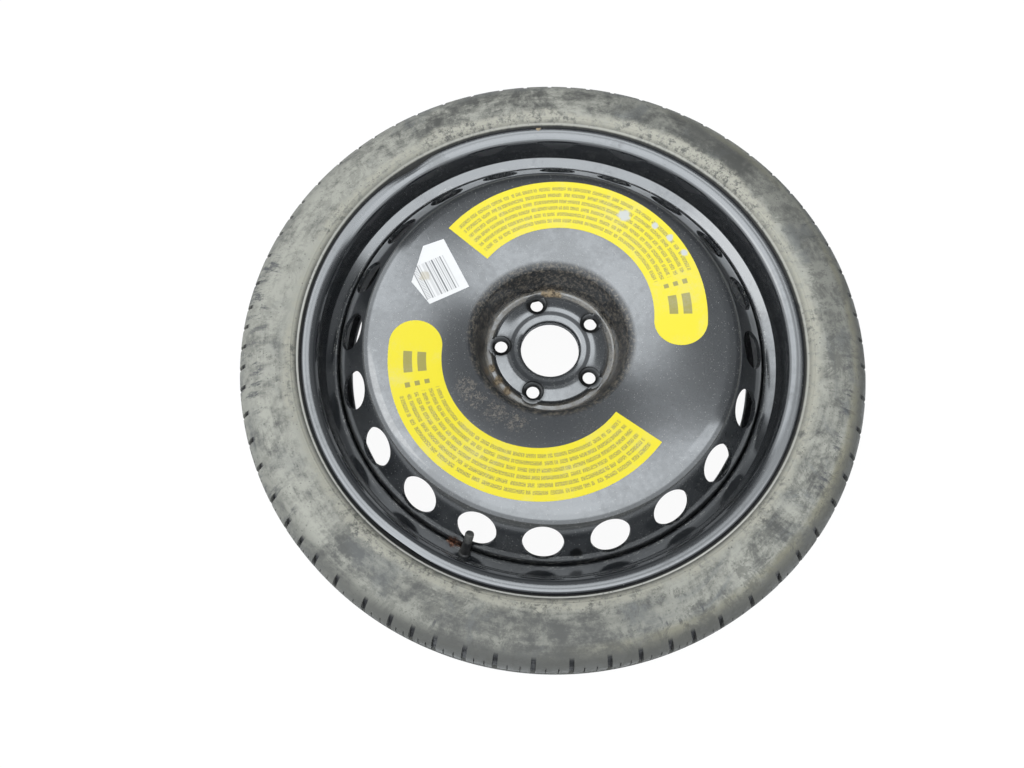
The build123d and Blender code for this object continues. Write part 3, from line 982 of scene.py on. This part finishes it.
def divided(line: Sequence[Point], longest: float) -> list[Point]:
    """Divide the long runs of a line.

    Args:
        line: points of the line.
        longest: longest run to leave.

    Returns:
        The line with points added.
    """
    result = [line[0]]
    for start, end in zip(line, line[1:]):
        parts = max(1, math.ceil(math.dist(start, end) / longest))
        for i in range(1, parts + 1):
            result.append(tuple(Vector(start).lerp(Vector(end), i / parts)))
    return result


def grid_piece(name: str, rings: np.ndarray) -> bpy.types.Object:
    """Make a piece from columns of points that go round the wheel.

    Args:
        name: name of the piece.
        rings: points in mm, by column, row and axis.

    Returns:
        The new object, shaded smooth with sharp edges by angle.
    """
    columns, rows = rings.shape[:2]
    points = (rings.reshape(-1, 3) * MM).tolist()
    faces = []
    for c in range(columns):
        here, there = c * rows, (c + 1) % columns * rows
        for r in range(rows):
            s = (r + 1) % rows
            faces.append((here + r, there + r, there + s, here + s))
    mesh = bpy.data.meshes.new(name)
    mesh.from_pydata(points, [], faces)
    return finished_piece(name, mesh)


def finished_piece(name: str, mesh: bpy.types.Mesh, sharp_deg: float = 32.0) -> bpy.types.Object:
    """Turn a mesh into a piece with outward faces and smooth shading.

    Args:
        name: name of the piece.
        mesh: its mesh.
        sharp_deg: angle above which an edge stays sharp.

    Returns:
        The new object.
    """
    work = bmesh.new()
    work.from_mesh(mesh)
    bmesh.ops.recalc_face_normals(work, faces=work.faces)
    work.to_mesh(mesh)
    work.free()
    mesh.shade_smooth()
    mesh.set_sharp_from_angle(angle=math.radians(sharp_deg))
    piece = bpy.data.objects.new(name, mesh)
    bpy.context.scene.collection.objects.link(piece)
    return piece


def turned(outline: Sequence[Point], angles: Sequence[float]) -> np.ndarray:
    """Turn an outline round the wheel axis.

    Args:
        outline: radius and height of each row.
        angles: angle of each column in degrees.

    Returns:
        Points by column, row and axis.
    """
    radius, height = np.array(outline).T
    turn = np.radians(np.array(angles))[:, None]
    level = np.broadcast_to(height, (len(angles), len(radius)))
    return np.stack([radius * np.cos(turn), radius * np.sin(turn), level], -1)


def even_angles(count: int) -> list[float]:
    """Return angles spread evenly over one turn."""
    return [360.0 / count * i for i in range(count)]


def place_piece(piece: bpy.types.Object, body: Body, finish: Finish, slot: str, *nodes: str) -> None:
    """Dress a piece, put it on its body and hide the solids that it stands for.

    Args:
        piece: the new object.
        body: body that it moves with.
        finish: its finish.
        slot: material slot of the record, not used.
        nodes: solids that it stands for.
    """
    piece.data.materials.clear()
    piece.data.materials.append(finish.material())
    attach(piece, body.value)
    if nodes:
        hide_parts(*nodes)
    LOG.info("piece %s on %s, %d faces", piece.name, body.value, len(piece.data.polygons))


@dataclass
class Tyre:
    """Tyre with grooves round the tread, slots and sipes across the shoulders. Sizes in mm."""

    crown_r: float = 348.25
    half_width: float = 72.5
    middle_z: float = -20.0
    tread_half: float = 40.0
    tread_drop: float = 3.0
    bulge_r: float = 299.0
    grooves: tuple[float, ...] = (0.0, 26.0)
    groove_half: float = 4.0
    groove_depth: float = 4.0
    slot_half: float = 2.4
    slot_depth: float = 4.0
    slot_inner: float = 29.0
    slot_outer: float = 62.0
    slot_fall: float = 10.0
    sipe_half: float = 0.4
    sipe_depth: float = 2.2
    sipe_outer: float = 50.0
    edge: float = 0.35
    lip_r: float = 273.7
    curl_r: float = 9.5
    flange_z: float = 53.0
    seat_r: float = 256.4
    fit: float = 0.1
    bead_toe: float = 34.0
    clinch_deg: float = 58.0
    clinch_pull: float = 16.0
    bulge_pull: float = 14.0
    tread_thick: float = 11.0
    wall_thick: float = 6.5
    lining_reach: float = 6.0
    pitch_shares: dict[str, float] = field(default_factory=lambda: {"S": 4.06, "M": 5.15, "L": 6.21})
    pitch_order: str = "SSSMMMLMSSMLMSSMMLLLMMSMLLMMLMSMLLMMSMLMSSMLLMMSMLMSSMMLLLMMSMLMSSMLMS"
    pitch_start_deg: float = -197.12

    def crown(self, z: float) -> float:
        """Return the tread's radius at a distance from its middle."""
        return self.crown_r - self.tread_drop * (z / self.tread_half) ** 2

    def tread_rows(self) -> list[Point]:
        """Return the rows of half the tread, with its grooves.

        Returns:
            Points from the middle to the shoulder.
        """
        rows = [(self.crown_r - self.groove_depth, 0.0)]
        for middle in self.grooves:
            near, far = middle - self.groove_half, middle + self.groove_half
            if middle > 0:
                rows += [(self.crown(near - 6), near - 6), (self.crown(near), near),
                         (self.crown(near) - self.groove_depth, near + self.edge)]
            rows += [(self.crown(far) - self.groove_depth, far - self.edge), (self.crown(far), far)]
        rows += [(self.crown(z), z) for z in (33.0, 36.5)]
        return rows

    def wall_rows(self) -> list[Point]:
        """Return the rows of one shoulder and sidewall down to the bead's toe.

        Returns:
            Points from the tread's edge to the air space.
        """
        shoulder = self.crown_r - self.tread_drop
        rows = []
        for i in range(13):
            turn = math.radians(90 * i / 12)
            rows.append((self.bulge_r + (shoulder - self.bulge_r) * math.cos(turn),
                         self.tread_half + (self.half_width - self.tread_half) * math.sin(turn)))
        curl = self.curl_r + self.fit
        centre = Vector((self.lip_r - self.curl_r, self.flange_z + self.curl_r))
        leave = math.radians(self.clinch_deg)
        clinch = centre + Vector((math.sin(leave), -math.cos(leave))) * curl
        pulls = [Vector((self.bulge_r, self.half_width)),
                 Vector((self.bulge_r - self.bulge_pull, self.half_width)),
                 clinch + Vector((math.cos(leave), math.sin(leave))) * self.clinch_pull, clinch]
        for i in range(1, 11):
            t = i / 10
            weights = ((1 - t) ** 3, 3 * t * (1 - t) ** 2, 3 * t * t * (1 - t), t ** 3)
            rows.append(tuple(sum((w * p for w, p in zip(weights, pulls)), Vector((0, 0)))))
        for share in (0.5, 0.0):
            turn = leave * share
            rows.append(tuple(centre + Vector((math.sin(turn), -math.cos(turn))) * curl))
        rows += [(self.seat_r + 9.5, self.flange_z - self.fit), (self.seat_r + 8.0, self.flange_z - 2.5),
                 (self.seat_r + 2.6, self.bead_toe), (self.seat_r + 9.0, self.bead_toe)]
        inner_z = self.half_width - self.wall_thick
        rows += [(self.bulge_r - 12, inner_z - 9), (self.bulge_r, inner_z),
                 (self.crown_r - 22, self.tread_half + self.lining_reach),
                 (self.crown_r - self.tread_thick, self.tread_half / 2)]
        return rows

    def section(self) -> list[Point]:
        """Return the closed section of the tyre.

        Returns:
            Points round the section, about its own middle.
        """
        half = self.tread_rows() + self.wall_rows()
        other = [(r, -z) for r, z in half[1:]]
        return half + other[::-1]

    def columns(self) -> list[tuple[float, Cut]]:
        """Return the columns of the mesh, close together at each slot and sipe.

        Returns:
            Angle in degrees and cut of each column.
        """
        scale = 360.0 / sum(self.pitch_shares[letter] for letter in self.pitch_order)
        per_mm = math.degrees(1 / self.crown_r)
        result = []
        at = self.pitch_start_deg
        for letter in self.pitch_order:
            pitch = self.pitch_shares[letter] * scale
            for share, half, cut in ((0.0, self.slot_half, Cut.SLOT), (1 / 3, self.sipe_half, Cut.SIPE),
                                     (2 / 3, self.sipe_half, Cut.SIPE)):
                middle = at + pitch * share
                inside, outside = (half - self.edge / 2) * per_mm, (half + self.edge / 2) * per_mm
                result += [(middle - outside, Cut.NONE), (middle - inside, cut), (middle + inside, cut),
                           (middle + outside, Cut.NONE), (middle + pitch / 6, Cut.NONE)]
            at += pitch
        return result

    def floor_radius(self, cut: Cut, radius: float, z: float) -> float:
        """Return the radius of a point once a column's cut is made.

        Args:
            cut: the column's cut.
            radius: radius of the plain surface.
            z: distance from the tyre's middle.

        Returns:
            The cut radius.
        """
        far = abs(z)
        if radius < self.bulge_r or far < self.slot_inner:
            return radius
        if cut is Cut.SLOT and far < self.slot_outer:
            share = (far - self.slot_inner) / (self.slot_outer - self.slot_inner)
            return min(radius, self.crown_r - self.slot_depth - self.slot_fall * share)
        if cut is Cut.SIPE and far < self.sipe_outer:
            return radius - self.sipe_depth
        return radius

    def build(self) -> None:
        """Build the tyre and put it on the wheel."""
        section = self.section()
        columns = self.columns()
        rings = turned(section, [angle for angle, _ in columns])
        depths = np.zeros(rings.shape[:2])
        for c, (angle, cut) in enumerate(columns):
            if cut is Cut.NONE:
                continue
            turn = math.radians(angle)
            for r, (radius, z) in enumerate(section):
                if radius > self.bulge_r and not self.lining(radius, z):
                    deep = self.floor_radius(cut, radius, z)
                    rings[c, r, :2] = deep * math.cos(turn), deep * math.sin(turn)
                    depths[c, r] = min(1.0, (radius - deep) / 0.8)
        rings[:, :, 2] += self.middle_z
        piece = grid_piece("tyre_rubber", rings)
        # How deep each point lies in a cut, for the painted shade in the tyre's finish.
        piece.data.attributes.new("cut", "FLOAT", "POINT").data.foreach_set("value", depths.ravel())
        place_piece(piece, Body.WHEEL, TyreRubber("tyre rubber"), "tyre", "tyre")

    def lining(self, radius: float, z: float) -> bool:
        """Return whether a point of the section is on the inside of the tyre."""
        return radius <= self.crown_r - self.tread_thick and abs(z) <= self.tread_half + self.lining_reach


@dataclass
class Rim:
    """Rolled rim with its two lips, one of them dented. Sizes in mm."""

    seat_r: float = 256.4
    half_width: float = 50.8
    flange: float = 17.3
    lip: float = 11.0
    curl_r: float = 9.5
    heel_r: float = 6.5
    gauge: float = 2.8
    middle_z: float = -20.0
    ledge_r: float = 242.0
    ledge_top: float = 21.4
    dish_r: float = 268.0
    dish_z: float = 59.66
    dish_bend_r: float = 40.0
    brow_r: float = 259.2
    brow_z: float = 58.54
    brow_bend_r: float = 8.5
    ledge_bottom: float = -8.0
    well_r: float = 233.6
    well_top: float = -15.0
    well_bottom: float = -21.0
    inner_seat_top: float = -32.0
    flank_deg: float = 32.0
    bend_r: float = 3.0
    columns: int = 440
    dents: tuple[Triple, ...] = ((112.0, 5.5, 4.2), (-139.0, 8.0, 2.0))
    dent_from_r: float = 258.0
    valve_at: Triple = (-149.444, -198.319, 4.858)
    valve_axis: Triple = (0.386839, 0.513353, 0.766044)
    valve_hole_r: float = 5.75
    valve_hole_sides: int = 48
    valve_drill: float = 12.0
    bend_step_deg: float = 9.0
    longest_run: float = 8.0

    def line(self) -> BentLine:
        """Return the middle line of the strip.

        Returns:
            The line from the outer lip to the inner lip.
        """
        half = self.gauge / 2
        top, seat = self.seat_r + self.flange - half, self.seat_r - half
        ledge, well = self.ledge_r + half, self.well_r + half
        face, end = self.half_width + half, self.half_width + self.lip - half
        flank_top = self.ledge_top + (seat - ledge) * math.tan(math.radians(self.flank_deg))
        corners = ((top, end), (self.dish_r, self.dish_z), (self.brow_r, self.brow_z), (seat, flank_top),
                   (ledge, self.ledge_top), (ledge, self.ledge_bottom), (well, self.well_top),
                   (well, self.well_bottom),
                   (seat, self.inner_seat_top), (seat, -face), (top, -face), (top, -end))
        curl, heel = self.curl_r - half, self.heel_r + half
        bends = (self.dish_bend_r, self.brow_bend_r, *[self.bend_r] * 6, heel, curl)
        return BentLine(corners, bends, self.bend_step_deg)

    def dented(self, rings: np.ndarray) -> np.ndarray:
        """Push the outer lip in where the photograph shows it bent.

        Args:
            rings: points about the rim's own middle.

        Returns:
            The points with the dents made.
        """
        radius = np.hypot(rings[..., 0], rings[..., 1])
        angle = np.degrees(np.arctan2(rings[..., 1], rings[..., 0]))
        reach = np.clip((radius - self.dent_from_r) / (self.seat_r + self.flange - self.dent_from_r), 0, 1)
        reach = np.where(rings[..., 2] > 0, reach ** 1.5, 0)
        for middle, spread, depth in self.dents:
            off = (angle - middle + 180) % 360 - 180
            push = depth * reach * np.exp(-(off / spread) ** 2)
            rings[..., 0] -= push * np.cos(np.radians(angle))
            rings[..., 1] -= push * np.sin(np.radians(angle))
            rings[..., 2] -= 0.35 * push
        return rings

    def build(self) -> None:
        """Build the rim and put it on the wheel."""
        outline = self.line().sheet(self.gauge, self.longest_run)
        rings = self.dented(turned(outline, even_angles(self.columns)))
        rings[:, :, 2] += self.middle_z
        piece = grid_piece("rim_strip", rings)
        self.drill(piece)
        finish = BlackPaint("gloss black paint", gloss=0.13, dull=0.30, cover=0.32, dusting=0.06, grit=0.06,
                            index=1.45, shine=0.3, seam_mm=(241.0, 247.0), coat_mm=(270.8, 272.2),
                            rust_spots=((-157.0, -184.0, -2.0, 11.0),),
                            soil_spots=((60.0, 266.0, 41.0, 4.0),))
        place_piece(piece, Body.WHEEL, finish, "black_paint", "rim")

    def drill(self, piece: bpy.types.Object) -> None:
        """Cut the valve's hole through the strip.

        Args:
            piece: the rim.
        """
        axis = Vector(self.valve_axis)
        turn = axis.to_track_quat("Z", "Y").to_matrix()
        sides = self.valve_hole_sides
        ring = [turn @ Vector((math.cos(t), math.sin(t), 0.0)) * self.valve_hole_r
                for t in (math.tau * i / sides for i in range(sides))]
        points = [(Vector(self.valve_at) + point + axis * reach) * MM
                  for reach in (-self.valve_drill, self.valve_drill) for point in ring]
        faces = [(i, (i + 1) % sides, sides + (i + 1) % sides, sides + i) for i in range(sides)]
        faces += [tuple(reversed(range(sides))), tuple(range(sides, 2 * sides))]
        mesh = bpy.data.meshes.new("valve_drill")
        mesh.from_pydata(points, [], faces)
        drill = finished_piece("valve_drill", mesh)
        cut = piece.modifiers.new("valve hole", "BOOLEAN")
        cut.operation, cut.solver, cut.object = "DIFFERENCE", "EXACT", drill
        bpy.context.view_layer.update()
        shaped = bpy.data.meshes.new_from_object(piece.evaluated_get(bpy.context.evaluated_depsgraph_get()))
        piece.modifiers.clear()
        piece.data = shaped
        bpy.data.objects.remove(drill)


@dataclass
class Disc:
    """Pressed disc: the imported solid's mesh with the true normals of the pressing. Sizes in mm."""

    gauge: float = 4.0
    bore_r: float = 33.25
    bolt_r: float = 56.0
    bolt_count: int = 5
    bolt_first_deg: float = 18.0
    bolt_shade: float = 16.8
    contact_drop: float = 6.0
    hub_z: float = 2.0
    dome_r: float = 53.0
    dome_rise: float = 1.2
    dome_edge_r: float = 63.5
    contact_r: float = 66.0
    wall_foot_r: float = 75.5
    crown_inner_r: float = 86.5
    crown_edge_r: float = 199.2
    crown_dip_deg: float = 7.0
    crown_ease_deg: Point = (0.6, 4.2)
    flank_deg: float = 48.5
    vent_r: float = 221.5
    vent_z: float = 25.0
    skirt_r: float = 239.95
    skirt_bottom: float = -22.0
    bends: tuple[float, ...] = (3.0, 40.0, 4.0, 3.0, 5.0, 9.0, 18.0, 38.0)
    agree: float = 0.9
    stray: float = 0.12

    def line(self) -> BentLine:
        """Return the middle line of the pressing.

        Returns:
            The line from the bore's collar to the skirt's end.
        """
        flank = math.tan(math.radians(self.flank_deg))
        edge_z = self.vent_z + (self.vent_r - self.crown_edge_r) * flank
        dip = math.tan(math.radians(self.crown_dip_deg))
        inner_z = edge_z - (self.crown_edge_r - self.crown_inner_r) * dip
        collar_r = self.bore_r + self.gauge / 2
        contact_z = self.hub_z - self.contact_drop
        corners = ((collar_r, -self.contact_drop), (collar_r, self.hub_z),
                   (self.dome_r, self.hub_z + self.dome_rise), (self.dome_edge_r, self.hub_z),
                   (self.contact_r, contact_z), (self.wall_foot_r, contact_z),
                   (self.crown_inner_r, inner_z), (self.crown_edge_r, edge_z),
                   (self.skirt_r, self.vent_z - (self.skirt_r - self.vent_r) * flank),
                   (self.skirt_r, self.skirt_bottom))
        return BentLine(corners, self.bends, 2.0)

    def pressed(self, points: np.ndarray) -> tuple[np.ndarray, np.ndarray]:
        """Find the normal and the distance of the smooth pressing's middle line.

        Args:
            points: points in mm.

        Returns:
            The normals, to the outer side, and the distances in mm.
        """
        line = np.array(divided(self.line().points(), 0.5))
        ahead = np.gradient(line, axis=0)
        across = np.stack([-ahead[:, 1], ahead[:, 0]], -1)
        inner, outer = self.crown_inner_r, self.crown_edge_r
        bounds = (inner, inner + 6.0, outer - 8.0, outer)
        ease = np.interp(line[:, 0], bounds, (0.0, *self.crown_ease_deg, 0.0))
        across[:, 0] += np.tan(np.radians(ease)) * across[:, 1]
        across /= np.linalg.norm(across, axis=1)[:, None]
        radius = np.hypot(points[:, 0], points[:, 1])
        flat = np.stack([radius, points[:, 2]], -1)
        squares = [((line - place) ** 2).sum(1) for place in flat]
        nearest = np.array([np.argmin(square) for square in squares])
        away = np.sqrt([square[i] for square, i in zip(squares, nearest)])
        out = points[:, :2] / radius[:, None]
        return np.concatenate([out * across[nearest, :1], across[nearest, 1:]], 1), away

    def true_normals(self, mesh: bpy.types.Mesh) -> None:
        """Give the faces that follow the smooth pressing its normals.

        Args:
            mesh: mesh of the disc, shaded smooth.
        """
        points = np.array([v.co for v in mesh.vertices]) / MM
        smooth, away = self.pressed(points)
        outward = np.array([face.normal for face in mesh.polygons])
        middle, _ = self.pressed(np.array([face.center for face in mesh.polygons]) / MM)
        turned_to = (outward * middle).sum(1)
        on_sheet = np.abs(away - self.gauge / 2) < self.stray
        follows = np.array([abs(turned_to[face.index]) > self.agree and on_sheet[list(face.vertices)].all()
                            for face in mesh.polygons])
        work = bmesh.new()
        work.from_mesh(mesh)
        for edge in work.edges:
            if len({bool(follows[face.index]) for face in edge.link_faces}) > 1:
                edge.smooth = False
        work.to_mesh(mesh)
        work.free()
        normals = np.array([corner.vector for corner in mesh.corner_normals])
        for face in mesh.polygons:
            if follows[face.index]:
                side = math.copysign(1.0, turned_to[face.index])
                corners = list(face.loop_indices)
                normals[corners] = smooth[list(face.vertices)] * side
        mesh.normals_split_custom_set(normals.tolist())

    def build(self) -> None:
        """Build the disc and put it on the wheel."""
        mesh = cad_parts["wheel_disc"].data.copy()
        work = bmesh.new()
        work.from_mesh(mesh)
        bmesh.ops.remove_doubles(work, verts=work.verts, dist=0.001 * MM)
        work.to_mesh(mesh)
        work.free()
        piece = finished_piece("disc_pressing", mesh, 25.0)
        self.true_normals(mesh)
        # Painted shadow round each bolt hole, reaching bolt_shade mm from its middle.
        turns = [math.radians(self.bolt_first_deg + angle) for angle in even_angles(self.bolt_count)]
        holes = tuple((self.bolt_r * math.cos(turn), self.bolt_r * math.sin(turn),
                       self.hub_z, self.bolt_shade) for turn in turns)
        finish = BlackPaint("satin black paint", gloss=0.3, dull=0.4, cover=0.45, dusting=0.05, grit=0.34,
                            index=1.45, shine=0.3, coat_mm=(400.0, 401.0), coat_rough=0.10, groove_mm=43.5,
                            seam_mm=(233.0, 242.5), hub_mm=(88.5, 95.0), hole_shadow_spots=holes,
                            grit_spots=((-104.7, -34.8, 41.0, 15.0), (-98.2, -48.3, 41.0, 15.0),
                                        (-81.6, -68.9, 41.0, 16.0), (-63.8, -84.0, 41.0, 14.0)),
                            worn=(66.0, 78.0, 1.5), rust_spots=((-157.0, -184.0, -2.0, 9.0),),
                            soil_spots=((13.0, 68.8, -2.0, 6.5), (20.5, 67.0, -2.0, 8.0),
                                        (28.0, 64.0, -2.0, 6.0), (-69.5, -4.0, -2.0, 6.0),
                                        (-66.5, -20.0, -2.0, 7.0), (-60.0, -35.0, -2.0, 6.0)),
                            # Painted shadow on one spot low on the flank.
                            shadow_spots=((-38.0, -229.0, 16.0, 8.0),))
        place_piece(piece, Body.WHEEL, finish, "black_paint", "wheel_disc")


@dataclass
class Welds:
    """Rippled weld beads behind the disc. Sizes in mm."""

    count: int = 8
    sweep_deg: float = 22.0
    toe_r: float = 241.9
    top_z: float = -22.05
    leg: float = 3.3
    ripple: float = 0.22
    ripples: int = 26
    steps: int = 104
    sides: int = 8

    def bead(self, start_deg: float) -> tuple[list[Triple], list[tuple[int, ...]]]:
        """Make the points and faces of one bead.

        Args:
            start_deg: angle at which it starts.

        Returns:
            Points in mm and faces.
        """
        points, faces = [], []
        per_ring = self.sides + 2
        for i in range(self.steps + 1):
            share = i / self.steps
            end = min(1.0, 6 * share, 6 * (1 - share)) ** 0.5
            size = self.leg * (0.35 + 0.65 * end)
            bulge = 0.78 + self.ripple * abs(math.sin(math.pi * share * self.ripples))
            turn = math.radians(start_deg + self.sweep_deg * share)
            ring = [(self.toe_r, self.top_z)]
            for k in range(self.sides + 1):
                angle = math.pi / 2 * k / self.sides
                swell = size * (bulge if 0 < k < self.sides else 1.0)
                ring.append((self.toe_r - swell * math.cos(angle), self.top_z - swell * math.sin(angle)))
            points += [(r * math.cos(turn), r * math.sin(turn), z) for r, z in ring]
        for i in range(self.steps):
            for k in range(per_ring):
                a, b = i * per_ring + k, i * per_ring + (k + 1) % per_ring
                faces.append((a, b, b + per_ring, a + per_ring))
        faces.append(tuple(range(per_ring)))
        faces.append(tuple(range(self.steps * per_ring, (self.steps + 1) * per_ring)))
        return points, faces

    def build(self) -> None:
        """Build the beads as one piece and put it on the wheel."""
        points: list[Triple] = []
        faces: list[tuple[int, ...]] = []
        for i in range(self.count):
            more, sides = self.bead(360.0 / self.count * i)
            faces += [tuple(index + len(points) for index in side) for side in sides]
            points += more
        mesh = bpy.data.meshes.new("weld_beads")
        mesh.from_pydata([tuple(v * MM for v in p) for p in points], [], faces)
        finish = BlackPaint("painted weld", gloss=0.3, dull=0.5, cover=0.5, dusting=0.15)
        piece = finished_piece("weld_beads", mesh, 60.0)
        place_piece(piece, Body.WHEEL, finish, "black_paint", "disc_weld_beads")


@dataclass
class Hardware:
    """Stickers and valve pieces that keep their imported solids."""

    upper: YellowFilm = YellowFilm("upper yellow film", centre=(17.0, 25.0), start_deg=-21.0,
                                   scuff_spots=((120.0, 118.0, 50.0, 9.0), (150.0, 95.8, 49.0, 5.0),
                                                (161.4, 76.6, 49.0, 5.0), (170.3, 54.2, 49.0, 5.0)))
    lower: YellowFilm = YellowFilm("lower yellow film", centre=(-21.0, -19.0), start_deg=160.0)
    stock: WhiteFilm = WhiteFilm("white film")
    rubber: PlainFinish = PlainFinish("valve rubber", colour=(0.007, 0.007, 0.0075), dusting=0.12)
    seal: PlainFinish = PlainFinish("seal rubber", colour=(0.05, 0.05, 0.05), dusting=0.1)
    cap: PlainFinish = PlainFinish("cap plastic", colour=(0.012, 0.013, 0.0135), dusting=0.22)
    brass: PlainFinish = PlainFinish("brass", colour=(0.62, 0.47, 0.22), metallic=1.0, rough_low=0.25,
                                     rough_high=0.5, dusting=0.15)
    steel: PlainFinish = PlainFinish("spring steel", colour=(0.55, 0.55, 0.56), metallic=1.0, rough_low=0.2,
                                     rough_high=0.4, dusting=0.05)

    def dress(self) -> None:
        """Give every carried-over solid its finish."""
        finishes = {
            "upper_sticker": self.upper, "lower_sticker": self.lower, "stock_sticker": self.stock,
            "valve_body": self.rubber, "valve_stem": self.brass, "valve_core_body": self.brass,
            "valve_core_pin": self.brass, "valve_core_gasket": self.seal, "valve_core_cup_seal": self.seal,
            "valve_cap_seal": self.seal, "valve_core_spring": self.steel, "valve_cap": self.cap,
        }
        for name, finish in finishes.items():
            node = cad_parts[name]
            node.data.materials.clear()
            node.data.materials.append(finish.material())
            LOG.info("solid %s dressed in %s", name, finish.name)


@dataclass
class Studio:
    """Floor, soft light and camera."""

    floor_half: float = 6.0
    floor_colour: Colour = (0.80, 0.80, 0.80)
    floor_shade: float = 0.05
    floor_rough: float = 0.9
    sky: Colour = (0.90, 0.955, 1.0)
    low_light: float = 1.3
    side_light: float = 3.0
    top_light: float = 3.3
    side_fade: Point = (0.46, 0.62)
    top_fade: Point = (0.84, 0.94)
    card_ahead: Triple = (0.707, 0.707, 0.0)
    card_fade: Point = (0.340, 0.374)
    card_depth: float = 0.9
    key_at: Triple = (-1.5, 0.5, 1.7)
    key_size: Point = (1.2, 1.2)
    key_power: float = 5.0
    key_colour: Colour = (1.0, 0.985, 0.96)
    camera_at: Triple = (-0.11937, -0.30765, 0.80696)
    camera_turn_deg: Triple = (19.5297, 0.5460, -14.9929)
    focal_px: float = 760.0
    photo_px: float = 1024.0
    sensor: float = 36.0

    def floor(self) -> None:
        """Lay the floor just under the wheel."""
        half, z = self.floor_half, CAD_BOX[0][2]
        mesh = bpy.data.meshes.new("floor")
        corners = [(-half, -half, z), (half, -half, z), (half, half, z), (-half, half, z)]
        mesh.from_pydata(corners, [], [(0, 1, 2, 3)])
        floor = bpy.data.objects.new("floor", mesh)
        bpy.context.scene.collection.objects.link(floor)
        material = bpy.data.materials.new("pale floor")
        material.use_nodes = True
        shader = Shader(material.node_tree)
        surface = material.node_tree.nodes["Principled BSDF"]
        shader.feed(surface.inputs["Base Color"], self.floor_colour)
        surface.inputs["Roughness"].default_value = self.floor_rough
        glow = shader.node("ShaderNodeEmission")
        path = shader.node("ShaderNodeLightPath").outputs
        seen = shader.math("MAXIMUM", path["Is Camera Ray"], path["Is Transmission Ray"])
        blend = shader.node("ShaderNodeMixShader")
        shader.feed(blend.inputs["Fac"], shader.product(seen, 1.0 - self.floor_shade))
        shader.feed(blend.inputs[1], surface.outputs[0])
        shader.feed(blend.inputs[2], glow.outputs[0])
        clear = shader.node("ShaderNodeMixShader")
        shader.feed(clear.inputs["Fac"], shader.node("ShaderNodeNewGeometry").outputs["Backfacing"])
        shader.feed(clear.inputs[1], blend.outputs[0])
        shader.feed(clear.inputs[2], shader.node("ShaderNodeBsdfTransparent").outputs[0])
        shader.feed(material.node_tree.nodes["Material Output"].inputs[0], clear.outputs[0])
        mesh.materials.append(material)

    def world(self) -> None:
        """Set a pale sky, brighter above, with one side dark; the camera sees white."""
        world = bpy.data.worlds.new("studio")
        world.use_nodes = True
        bpy.context.scene.world = world
        shader = Shader(world.node_tree)
        back = world.node_tree.nodes["Background"]
        path = shader.node("ShaderNodeLightPath").outputs
        towards = shader.node("ShaderNodeTexCoord").outputs["Generated"]
        split = shader.node("ShaderNodeSeparateXYZ")
        shader.feed(split.inputs[0], towards)
        side = shader.fade(split.outputs[2], *self.side_fade, self.low_light, self.side_light)
        top = shader.fade(split.outputs[2], *self.top_fade, 0.0, self.side_light - self.top_light)
        card = shader.fade(shader.dot(towards, self.card_ahead), *self.card_fade, 0.0, self.card_depth)
        light = shader.product(shader.math("SUBTRACT", side, top), shader.inverse(card))
        seen = path["Is Camera Ray"]
        shader.feed(back.inputs["Color"], shader.mix(seen, self.sky, (1.0, 1.0, 1.0)))
        shader.feed(back.inputs["Strength"], shader.math("MAXIMUM", light, seen))

    def lamp(self, name: str, at: Triple, size: Point, power: float, colour: Colour) -> None:
        """Hang a soft lamp that points at the wheel.

        Args:
            name: name of the lamp.
            at: its place.
            size: its two sides.
            power: watts.
            colour: colour of its light.
        """
        data = bpy.data.lights.new(name, "AREA")
        data.shape, data.size, data.size_y = "RECTANGLE", size[0], size[1]
        data.energy, data.color = power, colour
        lamp = bpy.data.objects.new(name, data)
        lamp.location = at
        lamp.rotation_euler = (-Vector(at)).to_track_quat("-Z", "Y").to_euler()
        bpy.context.scene.collection.objects.link(lamp)

    def camera(self) -> None:
        """Stand the camera where the photograph was taken from."""
        data = bpy.data.cameras.new("camera")
        data.sensor_width = self.sensor
        data.lens = self.sensor * self.focal_px / self.photo_px
        camera = bpy.data.objects.new("camera", data)
        camera.location = self.camera_at
        camera.rotation_euler = [math.radians(turn) for turn in self.camera_turn_deg]
        bpy.context.scene.collection.objects.link(camera)
        bpy.context.scene.camera = camera

    def build(self) -> None:
        """Build the studio."""
        self.floor()
        self.world()
        self.lamp("left key", self.key_at, self.key_size, self.key_power, self.key_colour)
        self.camera()
        bpy.context.scene.view_settings.view_transform = "Standard"


def main() -> None:
    logging.basicConfig(level=logging.INFO, format="%(message)s")
    Tyre().build()
    Rim().build()
    Disc().build()
    Welds().build()
    Hardware().dress()
    Studio().build()


if __name__ == "__main__":
    main()
